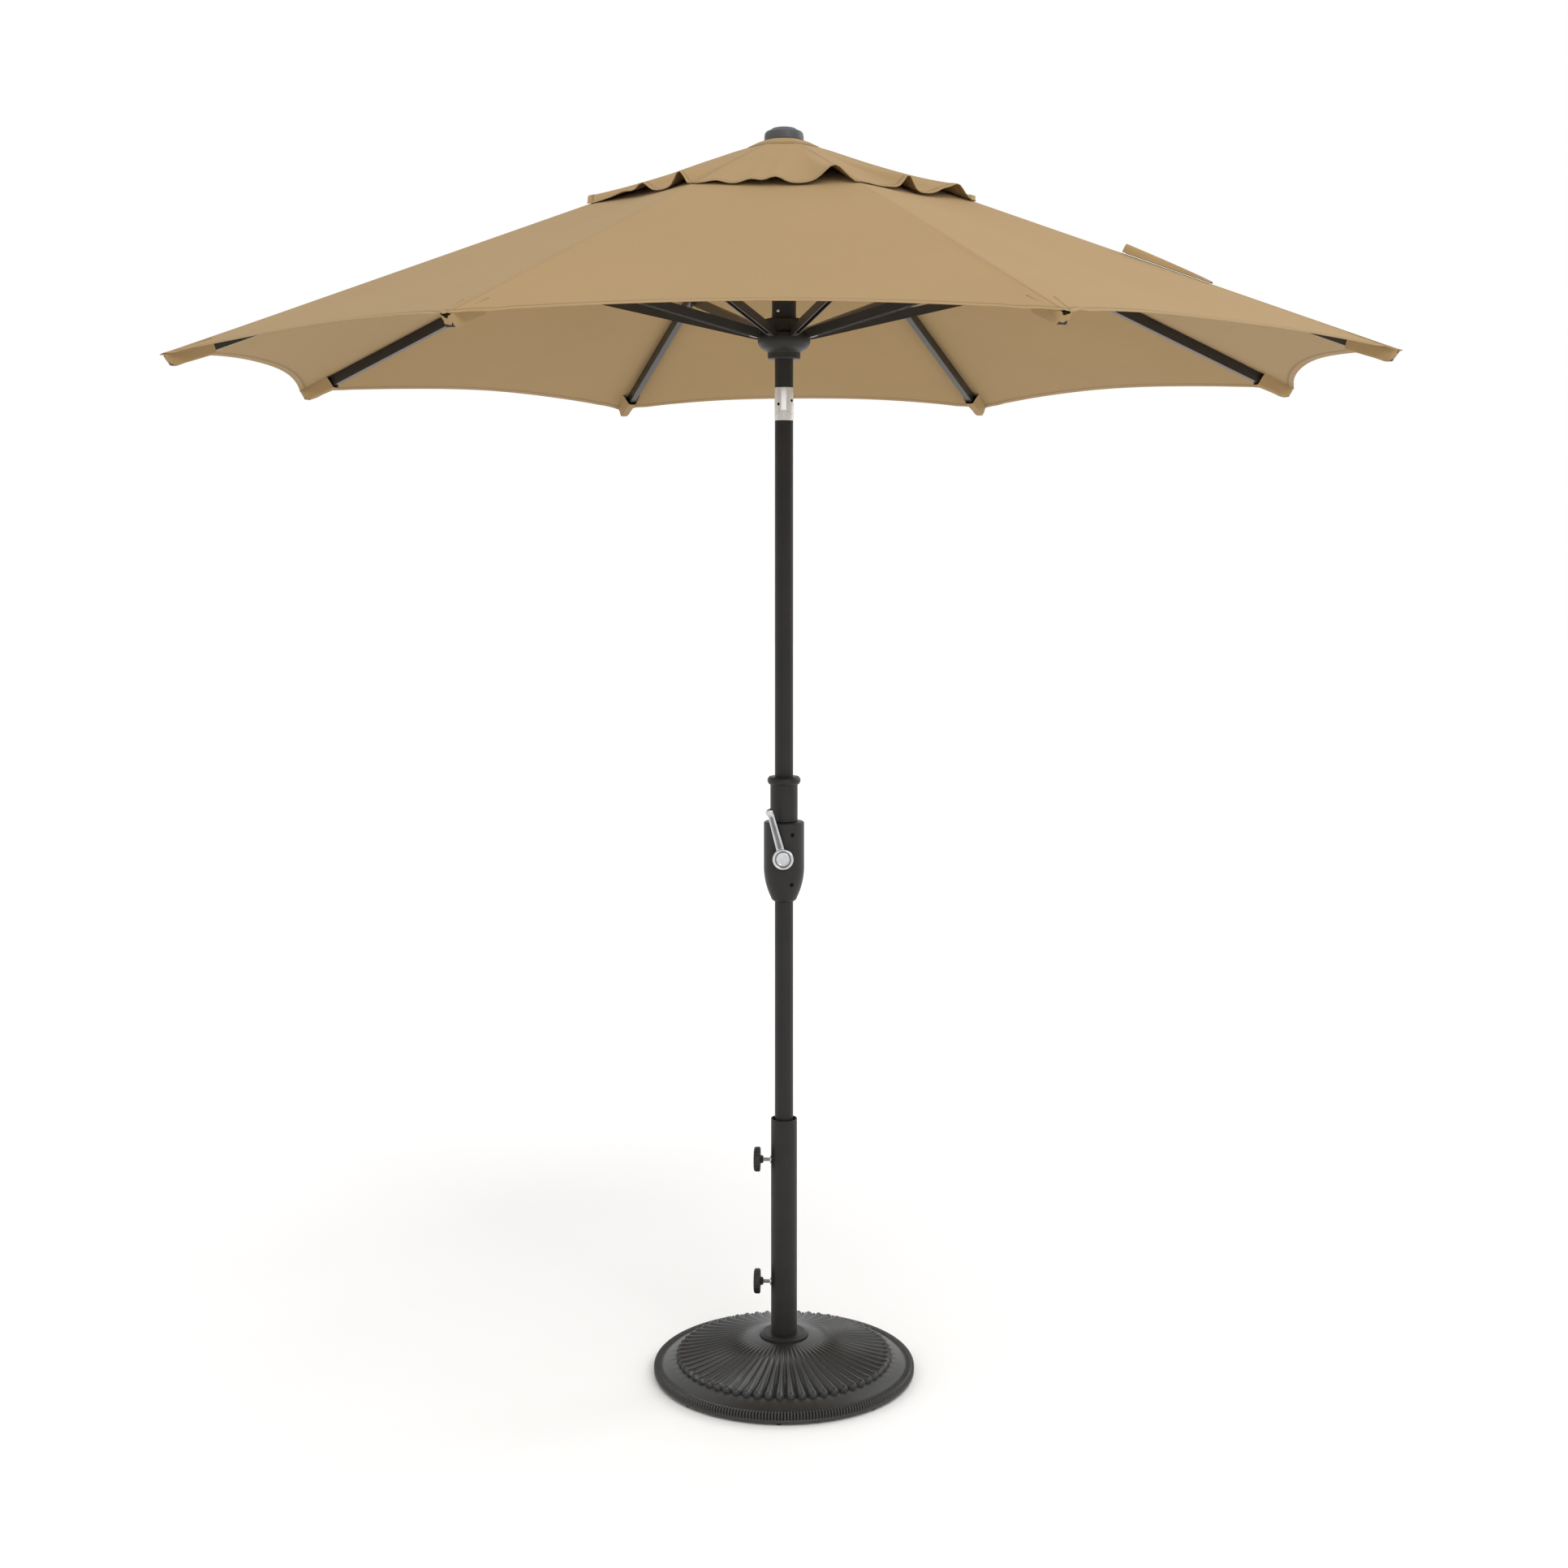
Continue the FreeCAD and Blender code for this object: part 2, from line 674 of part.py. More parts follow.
def make_upper_mast():
    upper = tube("upper_pole", "dims.pole_radius", "dims.pole_wall", "dims.tilt_top", "dims.upper_pole_top")
    node(upper, "upper_pole")
    make_tilt_tongue()
    make_hub()
    make_finial()
    make_pulley()


def under_vent(radius, drop):
    """Height that lies a drop below the vent's outer face, at a radius."""
    return "dims.vent_apex_height - (%s) * tan(dims.canopy_slope * 1deg) - %s" % (radius, drop)


def make_hub():
    hub = revolve("hub_blank", [
        ("dims.pole_radius + 0.1", "dims.hub_bottom"),
        ("dims.hub_slot_start - 0.5", "dims.hub_bottom"),
        ("dims.hub_slot_start + 3", "dims.hub_bottom + 6"),
        ("dims.hub_radius", "dims.hub_bottom + 6"),
        ("dims.hub_radius", under_vent("dims.hub_radius", "5")),
        ("dims.vent_inner_radius", under_vent("dims.vent_inner_radius", "5")),
        ("0", under_vent("dims.vent_inner_radius", "5")),
        ("0", "dims.upper_pole_top"),
        ("dims.pole_radius + 0.1", "dims.upper_pole_top"),
    ])
    half = "dims.hub_slot_width / 2"
    slot = draw(new_sketch(hub, "XY_Plane", "dims.finial_top"), [
        ("dims.hub_slot_start", "-" + half),
        ("dims.hub_radius + 5", "-" + half),
        ("dims.hub_radius + 5", half),
        ("dims.hub_slot_start", half),
    ])
    around(hub, add_pocket(hub, slot), "dims.rib_count")
    pin_height = size(rib_height_at("dims.rib_pivot_radius"))
    pin_half = size("dims.rib_pin_length") / 2
    pins = []
    pin_holes = []
    for number in range(1, int(size("dims.rib_count")) + 1):
        turn = placed(angle=rib_azimuth(number))
        across = placed(size("dims.rib_pivot_radius"), pin_half, pin_height, (1, 0, 0), 90)
        wider = placed(size("dims.rib_pivot_radius"), pin_half + 0.05, pin_height, (1, 0, 0), 90)
        pins.append(rod("rib_pin_%d" % number, "dims.rib_pin_radius", "dims.rib_pin_length",
                        turn.multiply(across)))
        pin_holes.append(rod("rib_pin_hole_%d" % number, "dims.rib_pin_radius + 0.02",
                             "dims.rib_pin_length + 0.1", turn.multiply(wider)))
    hub.Placement = placed(angle=SIXTEENTH)
    node(cut("top_hub_drilled", hub, pin_holes), "top_hub")
    axle_half = size("dims.pole_radius - dims.pole_wall") - 0.1
    pins.append(rod("pulley_axle", "dims.pulley_axle_radius", "2 * (dims.pole_radius - dims.pole_wall) - 0.2",
                    placed(-axle_half, 0, size("dims.pulley_height"), (0, 1, 0), 90)))
    node(group("hub_pins", pins), "hub_pins")


def over_vent(radius, gap):
    """Height that lies a gap above the vent's highest line, the middle of a panel, at a radius."""
    fall = "(dims.vent_outer_radius * tan(dims.canopy_slope * 1deg) - dims.vent_lift)"
    reach = "(dims.vent_outer_radius * cos(%g deg))" % SIXTEENTH
    return "dims.vent_apex_height - (%s) * %s / %s + %s" % (radius, fall, reach, gap)


def make_finial():
    """Cap over the centre of the canopy, on a stud that reaches the hub."""
    dome_rise = "(dims.finial_top - dims.finial_rim_top)"
    finial = revolve("finial", [
        ("0", under_vent("dims.vent_inner_radius", "4.9")),
        ("6", under_vent("dims.vent_inner_radius", "4.9")),
        ("6", over_vent("dims.vent_inner_radius", "0.6")),
        ("dims.vent_inner_radius - 1", over_vent("dims.vent_inner_radius", "0.6")),
        ("dims.finial_radius", over_vent("dims.finial_radius", "0.6")),
        ("dims.finial_radius", "dims.finial_shoulder"),
        ("dims.finial_radius - 6", "dims.finial_rim_top", "6.01", 1),
        ("dims.finial_dome_radius", "dims.finial_rim_top"),
        ("0", "dims.finial_top", "(dims.finial_dome_radius^2 + %s^2) / (2 * %s)" % (dome_rise, dome_rise), 1),
    ])
    node(finial, "finial")


def make_pulley():
    """Grooved wheel that the lift line turns over, inside the top of the pole."""
    half = "dims.pulley_width / 2"
    bore = "dims.pulley_axle_radius + %g" % RUNNING_GAP
    wheel = revolve("pulley", [
        (bore, "-" + half),
        ("dims.pulley_radius", "-" + half),
        ("dims.pulley_radius - 2.5", "0"),
        ("dims.pulley_radius", half),
        (bore, half),
    ])
    node(wheel, "pulley", placed(0, 0, size("dims.pulley_height"), (0, 1, 0), 90))


# ---- runner ----

def make_runner():
    """The hub that slides on the pole and carries the feet of the struts in eight slots."""
    bore = "dims.tilt_radius + %g" % SLIDING_GAP
    runner = revolve("runner", [
        (bore, "dims.runner_bottom"),
        ("dims.runner_collar_radius", "dims.runner_bottom"),
        ("dims.runner_collar_radius", "dims.runner_collar_top"),
        ("dims.runner_bulge_radius - 4", "dims.runner_bulge_bottom"),
        ("dims.runner_bulge_radius", "dims.runner_bulge_bottom + 6", "7", 1),
        ("dims.runner_bulge_radius", "dims.runner_bulge_top - 6"),
        ("dims.runner_bulge_radius - 6", "dims.runner_bulge_top", "6.01", 1),
        ("dims.runner_neck_radius", "dims.runner_neck_bottom"),
        ("dims.runner_neck_radius", "dims.runner_top"),
        (bore, "dims.runner_top"),
    ])
    half = "dims.runner_slot_width / 2"
    slot = draw(new_sketch(runner, "XY_Plane", "dims.runner_top + 5"), [
        ("dims.runner_slot_start", "-" + half),
        ("dims.runner_bulge_radius + 5", "-" + half),
        ("dims.runner_bulge_radius + 5", half),
        ("dims.runner_slot_start", half),
    ])
    around(runner, add_pocket(runner, slot), "dims.rib_count")
    node(runner, "runner", placed(angle=SIXTEENTH))
    sleeve = revolve("runner_sleeve", [
        (bore, "dims.runner_top"),
        ("dims.sleeve_radius", "dims.runner_top"),
        ("dims.sleeve_radius", "dims.sleeve_top - 2"),
        ("dims.sleeve_radius - 2", "dims.sleeve_top"),
        (bore, "dims.sleeve_top"),
    ])
    node(sleeve, "runner_sleeve")


# ---- ribs, struts and canopy, once round the hub ----

def rib_azimuth(number):
    """Direction of a rib, in degrees from +X. Rib 1 is the first one after +X."""
    return SIXTEENTH + (number - 1) * 360 / size("dims.rib_count")


def rib_height_at(radius):
    """Height of the middle line of a rib, as an expression."""
    return "dims.rib_apex_height - (%s) * tan(dims.canopy_slope * 1deg)" % radius


def along_rib(radius, drop="0"):
    """Length along a rib from its pivot to where a point that far below the rib has this radius."""
    shift = "(%s) * sin(dims.canopy_slope * 1deg)" % drop
    return "((%s) - dims.rib_pivot_radius + %s) / cos(dims.canopy_slope * 1deg)" % (radius, shift)


def rib_frame(number):
    """Local frame of a rib: origin on its pivot, +X out along it and +Z away from the pole."""
    turn = placed(angle=rib_azimuth(number))
    pivot = placed(size("dims.rib_pivot_radius"), 0, size(rib_height_at("dims.rib_pivot_radius")),
                   (0, 1, 0), size("dims.canopy_slope"))
    return turn.multiply(pivot)


def make_rib(number):
    """Rectangular tube with a round solid eye at the hub."""
    rib = new_body("rib_%d" % number)
    half = "dims.rib_height / 2"
    end = along_rib("dims.rib_end_radius")
    side = draw(new_sketch(rib, "XZ_Plane"), [
        ("0", "-" + half, half, 1),
        (end, "-" + half),
        (end, half),
        ("0", half),
        ("-" + half, "0", half, 1),
    ])
    add_pad(rib, side, "dims.rib_width", both_sides=True)
    inner_width = "dims.rib_width / 2 - dims.rib_wall"
    inner_height = "dims.rib_height / 2 - dims.rib_wall"
    hollow = draw(new_sketch(rib, "YZ_Plane", end), [
        ("-(" + inner_width + ")", "-(" + inner_height + ")"),
        (inner_width, "-(" + inner_height + ")"),
        (inner_width, inner_height),
        ("-(" + inner_width + ")", inner_height),
    ])
    add_pocket(rib, hollow, end + " - dims.rib_solid_end")
    pin_hole = draw_circle(new_sketch(rib, "XZ_Plane"), "0", "0", "dims.rib_pin_radius + %g" % RUNNING_GAP)
    add_pocket(rib, pin_hole, "dims.rib_width + 2", both_sides=True)
    node(rib, "rib_%d" % number, rib_frame(number))


def make_rib_fittings(number):
    """What is fastened to a rib: the strut bracket, its pin and the cap on the rib's end."""
    name = "rib_fittings_%d" % number
    half = "dims.rib_height / 2"
    inside = "dims.rib_width / 2"
    outside = "dims.rib_width / 2 + dims.bracket_sheet"
    below_rib = "-%s - dims.bracket_sheet" % half
    skirt = "-dims.bracket_drop - 9.5"
    at_bracket = along_rib("dims.bracket_radius", "dims.bracket_drop")
    bracket = new_body(name + "_bracket")
    section = draw(new_sketch(bracket, "YZ_Plane", at_bracket), [
        ("-(" + outside + ")", skirt),
        ("-(" + inside + ")", skirt),
        ("-(" + inside + ")", below_rib),
        (inside, below_rib),
        (inside, skirt),
        (outside, skirt),
        (outside, "4"),
        (inside, "4"),
        (inside, "-" + half),
        ("-(" + inside + ")", "-" + half),
        ("-(" + inside + ")", "4"),
        ("-(" + outside + ")", "4"),
    ])
    add_pad(bracket, section, "dims.bracket_length", both_sides=True)
    pin_spot = (at_bracket, "-dims.bracket_drop")
    hole = draw_circle(new_sketch(bracket, "XZ_Plane"), *pin_spot, "dims.bracket_pin_radius + 0.02")
    add_pocket(bracket, hole, "dims.rib_width + 20", both_sides=True)

    shank = "dims.bracket_pin_radius"
    pin = revolve(name + "_pin", [
        ("0", "-(" + outside + ") - 1.6"),
        (shank + " + 2", "-(" + outside + ") - 1.6"),
        (shank + " + 2", "-(" + outside + ")"),
        (shank, "-(" + outside + ")"),
        (shank, outside),
        (shank + " + 2", outside),
        (shank + " + 2", outside + " + 1.6"),
        ("0", outside + " + 1.6"),
    ])
    pin.Placement = placed(size(at_bracket), 0, -size("dims.bracket_drop"), (1, 0, 0), 90)

    end = along_rib("dims.rib_end_radius")
    cap = new_body(name + "_cap")
    profile = draw(new_sketch(cap, "XZ_Plane"), [
        (end, "-" + half),
        (end + " + 2", "-" + half),
        (end + " + 7", "-%s + 5" % half, "5.01", 1),
        (end + " + 7", half + " - 5"),
        (end + " + 2", half, "5.01", 1),
        (end, half),
    ])
    add_pad(cap, profile, "dims.rib_width", both_sides=True)
    node(group(name, [bracket, pin, cap]), name, rib_frame(number))


def strut_ends():
    """Where a strut starts and ends in its rib's vertical plane: (radius, height) of foot and bracket."""
    slope = math.radians(size("dims.canopy_slope"))
    drop = size("dims.bracket_drop")
    reach = size(along_rib("dims.bracket_radius", "dims.bracket_drop"))
    hub_height = size(rib_height_at("dims.rib_pivot_radius"))
    bracket_height = hub_height - reach * math.sin(slope) - drop * math.cos(slope)
    foot = (size("dims.strut_foot_radius"), size("dims.strut_foot_height"))
    return foot, (size("dims.bracket_radius"), bracket_height)


def make_strut(number):
    """Folded channel with a round eye at each end and a stub pin in the foot."""
    foot, head = strut_ends()
    length = math.hypot(head[0] - foot[0], head[1] - foot[1])
    rise = math.degrees(math.atan2(head[1] - foot[1], head[0] - foot[0]))
    name = "strut_%d" % number
    strut = new_body(name + "_channel")
    half = "dims.strut_height / 2"
    eye = "dims.strut_eye_radius"
    far = "%.4f" % length
    side = draw(new_sketch(strut, "XZ_Plane"), [
        ("0", "-" + eye, eye, 1),
        ("6", "-" + half),
        (far, "-" + half),
        (far + " + " + half, "0", half, 1),
        (far, half, half, 1),
        ("6", half),
        ("0", eye),
        ("-" + eye, "0", eye, 1),
    ])
    add_pad(strut, side, "dims.strut_width", both_sides=True)
    inner = "dims.strut_width / 2 - dims.strut_wall"
    margin = "dims.strut_channel_margin"
    channel = draw(new_sketch(strut, "XY_Plane", "-" + half), [
        (margin, "-(" + inner + ")"),
        (far + " - " + margin, "-(" + inner + ")"),
        (far + " - " + margin, inner),
        (margin, inner),
    ])
    add_pocket(strut, channel, "dims.strut_height - dims.strut_wall", turned=True)
    head_hole = draw_circle(new_sketch(strut, "XZ_Plane"), far, "0",
                            "dims.bracket_pin_radius + %g" % RUNNING_GAP)
    add_pocket(strut, head_hole, "dims.strut_width + 2", both_sides=True)
    foot_hole = draw_circle(new_sketch(strut, "XZ_Plane"), "0", "0", "dims.rib_pin_radius + 0.02")
    add_pocket(strut, foot_hole, "dims.strut_width + 2", both_sides=True)
    half_width = size("dims.strut_width") / 2
    pin = rod(name + "_pin", "dims.rib_pin_radius", "dims.strut_width",
              placed(0, half_width, 0, (1, 0, 0), 90))
    frame = placed(angle=rib_azimuth(number)).multiply(placed(foot[0], 0, foot[1], (0, 1, 0), -rise))
    node(group(name, [strut, pin]), name, frame)


def panel_half_angle():
    """Angle in the cloth between a rib and the middle of the panel beside it."""
    slope = math.radians(size("dims.canopy_slope"))
    flat_radius = 1 / math.cos(slope)
    half_side = math.sin(math.radians(SIXTEENTH))
    return math.degrees(math.asin(half_side / flat_radius))


def make_patterns():
    """Flat patterns of half a gore, cut on the table: X along the rib from the centre, Y across."""
    angle = panel_half_angle()
    turn = "%.6f deg" % angle
    slant = "cos(dims.canopy_slope * 1deg)"
    side_gap = "dims.canopy_gap / 2"

    def at_middle(reach):
        """Point a hair inside the panel's middle line, level with a point of this reach on a rib."""
        along = "(%s) * cos(%s)" % (reach, turn)
        return ("%s * cos(%s) + %s * sin(%s)" % (along, turn, side_gap, turn),
                "%s * sin(%s) - %s * cos(%s)" % (along, turn, side_gap, turn))

    tip = "dims.canopy_radius / " + slant
    inner = "dims.canopy_inner_radius / " + slant
    tip_reach = size(tip)
    rise = size("dims.hem_rise")
    half_side = tip_reach * math.sin(math.radians(angle))
    hem_curve = (half_side * half_side + rise * rise) / (2 * rise)
    raised = tip + " - dims.hem_rise / cos(%s)" % turn
    gore = new_body("gore_pattern")
    gore_outline = [
        (inner, "0"),
        (tip, "0"),
        at_middle(raised) + ("%.3f" % hem_curve, -1),
        at_middle(inner),
    ]
    add_pad(gore, draw(new_sketch(gore, "XY_Plane"), gore_outline), "dims.canopy_thickness", turned=True)

    vent_tip = "dims.vent_outer_radius / " + slant
    vent_inner = "dims.vent_inner_radius / " + slant
    vent = new_body("vent_pattern")
    vent_outline = [
        (vent_inner, "0"),
        (vent_tip, "0"),
        at_middle(vent_tip),
        at_middle(vent_inner),
    ]
    add_pad(vent, draw(new_sketch(vent, "XY_Plane"), vent_outline), "dims.canopy_thickness", turned=True)
    return gore, vent


def panel_placement(apex_height, middle_slope):
    """Plane through a rib line and the middle line of the panel on its +Y side, both from the apex."""
    slope = math.radians(size("dims.canopy_slope"))
    half = math.radians(SIXTEENTH)
    along = FreeCAD.Vector(math.cos(slope), 0, -math.sin(slope))
    middle = FreeCAD.Vector(math.cos(half), math.sin(half), -math.tan(middle_slope))
    up = along.cross(middle).normalize()
    across = up.cross(along)
    turn = FreeCAD.Rotation(along, across, up, "XYZ")
    return FreeCAD.Placement(FreeCAD.Vector(0, 0, apex_height), turn)


def make_gore(number, patterns):
    """One gore of the canopy, from mid-panel to mid-panel over its rib, with its part of the vent."""
    slope = math.radians(size("dims.canopy_slope"))
    flat_middle = math.atan(math.tan(slope) / math.cos(math.radians(SIXTEENTH)))
    vent_reach = size("dims.vent_outer_radius") * math.cos(math.radians(SIXTEENTH))
    vent_drop = size("dims.vent_outer_radius") * math.tan(slope) - size("dims.vent_lift")
    vent_middle = math.atan(vent_drop / vent_reach)
    halves = []
    for pattern, apex, middle_slope in (
        (patterns[0], size("dims.canopy_apex_height"), flat_middle),
        (patterns[1], size("dims.vent_apex_height"), vent_middle),
    ):
        half = pattern.Shape.copy()
        half.Placement = panel_placement(apex, middle_slope)
        halves.append(half)
        halves.append(half.mirror(FreeCAD.Vector(0, 0, 0), FreeCAD.Vector(0, 1, 0)))
    name = "canopy_gore_%d" % number
    gore = doc.addObject("Part::Feature", name)
    gore.Shape = Part.Compound(halves)
    node(gore, name, placed(angle=rib_azimuth(number)))


# ---- the whole object ----

def faults(thing):
    """What is wrong with a finished object."""
    found = [state for state in thing.State if state in ("Invalid", "Error")]
    if thing in nodes:
        shape = thing.Shape
        if shape.isNull() or not shape.isValid() or not shape.Solids:
            found.append("bad shape")
    return found


make_base()
make_clamp_knob("knob_upper", "knob_upper_height")
make_clamp_knob("knob_lower", "knob_lower_height")
make_mast()
make_tilt_collar()
make_crank()
make_upper_mast()
make_runner()
patterns = make_patterns()
doc.recompute()
for rib_number in range(1, int(size("dims.rib_count")) + 1):
    make_rib(rib_number)
    make_rib_fittings(rib_number)
    make_strut(rib_number)
    make_gore(rib_number, patterns)
doc.recompute()

for thing in doc.Objects:
    if faults(thing):
        raise RuntimeError("%s: %s" % (thing.Label, faults(thing)))

os.makedirs("parts", exist_ok=True)
for thing in nodes:
    thing.Shape.exportStep("parts/%s.step" % thing.Label)
    print("%-20s %8.1f cm3  %d solid" % (thing.Label, thing.Shape.Volume / 1000, len(thing.Shape.Solids)))
print(len(nodes), "nodes")
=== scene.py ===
import json
import math

import bmesh
import bpy
from mathutils import Matrix, Vector


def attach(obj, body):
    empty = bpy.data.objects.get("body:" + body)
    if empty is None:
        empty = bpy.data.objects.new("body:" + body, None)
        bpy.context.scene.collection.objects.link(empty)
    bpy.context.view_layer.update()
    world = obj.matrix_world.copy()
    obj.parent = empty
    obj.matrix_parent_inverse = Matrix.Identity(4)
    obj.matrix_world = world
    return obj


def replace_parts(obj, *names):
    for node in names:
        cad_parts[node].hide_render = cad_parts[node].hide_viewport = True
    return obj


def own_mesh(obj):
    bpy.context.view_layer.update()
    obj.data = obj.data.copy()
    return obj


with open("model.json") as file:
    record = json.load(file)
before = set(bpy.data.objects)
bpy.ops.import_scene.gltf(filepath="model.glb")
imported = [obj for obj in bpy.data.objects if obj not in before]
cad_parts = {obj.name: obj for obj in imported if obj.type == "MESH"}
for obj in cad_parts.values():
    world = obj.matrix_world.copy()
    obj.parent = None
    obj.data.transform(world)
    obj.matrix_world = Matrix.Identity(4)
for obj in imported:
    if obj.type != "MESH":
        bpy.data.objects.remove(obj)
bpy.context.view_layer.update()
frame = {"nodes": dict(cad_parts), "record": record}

MM = 0.001

# ---------------------------------------------------------------- canopy frame, in metres and degrees
RIBS = 8
SLOPE = math.radians(21.7)          # of a rib below the horizontal
APEX = 2.566                        # where the outer face of the main cloth would meet the axis
TIP_RADIUS = 1.243
INNER_RADIUS = 0.170
HEM_RISE = 0.062                    # how far the hem curves in between two tips
VENT_START, VENT_CORNER = 0.060, 0.420
VENT_RUN = VENT_CORNER - VENT_START
CLOTH = 0.0012                      # thickness

# heights of the fittings on the pole, and how far the crank leans from upright
HIGH_KNOB, LOW_KNOB = 0.439, 0.186
CRANK_HEIGHT, CRANK_LEAN = 1.070, math.radians(15.5)
HIGH_WELL, LOW_WELL = 1.118, 1.015

# the angle in the cloth between a rib and the middle of its panel
rib_dir = Vector((math.cos(SLOPE), 0, -math.sin(SLOPE)))
next_dir = Matrix.Rotation(math.radians(45), 3, "Z") @ rib_dir
HALF_CLOTH = rib_dir.angle(next_dir) / 2


def rib_azimuth(i):
    """The angle of rib i round the pole; the photo looks from azimuth -90 degrees."""
    return math.radians(22.5 + 45 * (i - 1))


def smooth(x):
    """A soft step from 0 to 1 as x goes from 0 to 1."""
    x = min(1.0, max(0.0, x))
    return x * x * (3 - 2 * x)


# ---------------------------------------------------------------- materials

def nodes_of(name):
    """A new material, its node tree and its main shader."""
    m = bpy.data.materials.new(name)
    m.use_nodes = True
    t = m.node_tree
    return m, t, t.nodes["Principled BSDF"]


def ramp(t, source, stops):
    """A value turned into colours at (place, colour) stops."""
    r = t.nodes.new("ShaderNodeValToRGB")
    while len(r.color_ramp.elements) < len(stops):
        r.color_ramp.elements.new(0.5)
    for e, (at, colour) in zip(r.color_ramp.elements, stops):
        e.position = at
        e.color = (*colour, 1)
    t.links.new(source, r.inputs["Fac"])
    return r.outputs["Color"]


def noise(t, scale, detail=3, rough=0.5, stretch=None):
    """Uneven values over an object, in its own coordinates; stretch scales each axis."""
    c = t.nodes.new("ShaderNodeTexCoord")
    v = c.outputs["Object"]
    if stretch is not None:
        p = t.nodes.new("ShaderNodeMapping")
        p.inputs["Scale"].default_value = stretch
        t.links.new(v, p.inputs["Vector"])
        v = p.outputs["Vector"]
    n = t.nodes.new("ShaderNodeTexNoise")
    n.inputs["Scale"].default_value = scale
    n.inputs["Detail"].default_value = detail
    n.inputs["Roughness"].default_value = rough
    t.links.new(v, n.inputs["Vector"])
    return n.outputs["Fac"]


def bump(t, height, distance, strength=1.0, chain=None):
    """A normal that follows a height, added to an earlier normal where chain is given."""
    b = t.nodes.new("ShaderNodeBump")
    b.inputs["Distance"].default_value = distance
    b.inputs["Strength"].default_value = strength
    t.links.new(height, b.inputs["Height"])
    if chain is not None:
        t.links.new(chain, b.inputs["Normal"])
    return b.outputs["Normal"]


def math_node(t, operation, a, b=None):
    """One sum in a node tree; a and b are numbers or outputs of nodes."""
    m = t.nodes.new("ShaderNodeMath")
    m.operation = operation
    for k, x in enumerate((a, b)):
        if x is None:
            continue
        if isinstance(x, (int, float)):
            m.inputs[k].default_value = x
        else:
            t.links.new(x, m.inputs[k])
    return m.outputs[0]


def paint(name, low, high, rough_low, rough_high, grain=900.0, depth=0.00008, specular=0.28,
          wear=None):
    """Paint, plastic or cast metal: two close tones, uneven gloss and a fine grain; wear lightens patches."""
    m, t, p = nodes_of(name)
    p.inputs["Specular IOR Level"].default_value = specular
    cloud = noise(t, 14, 4, 0.6)
    colour = ramp(t, cloud, [(0.3, low), (0.7, high)])
    if wear is not None:
        speck = noise(t, 160, 5, 0.7)
        mask = ramp(t, speck, [(0.62, (0, 0, 0)), (0.74, (1, 1, 1))])
        mix = t.nodes.new("ShaderNodeMix")
        mix.data_type = "RGBA"
        t.links.new(mask, mix.inputs[0])
        t.links.new(colour, mix.inputs[6])
        mix.inputs[7].default_value = (*wear, 1)
        colour = mix.outputs[2]
    t.links.new(colour, p.inputs["Base Color"])
    gloss = noise(t, 40, 3, 0.55)
    r = t.nodes.new("ShaderNodeMapRange")
    r.inputs["To Min"].default_value = rough_low
    r.inputs["To Max"].default_value = rough_high
    t.links.new(gloss, r.inputs["Value"])
    t.links.new(r.outputs["Result"], p.inputs["Roughness"])
    t.links.new(bump(t, noise(t, grain, 2, 0.5), depth), p.inputs["Normal"])
    return m


def metal(name, low, high, rough_low, rough_high, stretch=(1, 1, 60), scale=30.0, depth=0.00003):
    """Bare or plated metal with brush marks along one direction."""
    m, t, p = nodes_of(name)
    p.inputs["Metallic"].default_value = 1.0
    brushed = noise(t, scale, 4, 0.65, stretch)
    t.links.new(ramp(t, brushed, [(0.3, low), (0.7, high)]), p.inputs["Base Color"])
    r = t.nodes.new("ShaderNodeMapRange")
    r.inputs["To Min"].default_value = rough_low
    r.inputs["To Max"].default_value = rough_high
    t.links.new(brushed, r.inputs["Value"])
    t.links.new(r.outputs["Result"], p.inputs["Roughness"])
    t.links.new(bump(t, brushed, depth), p.inputs["Normal"])
    return m


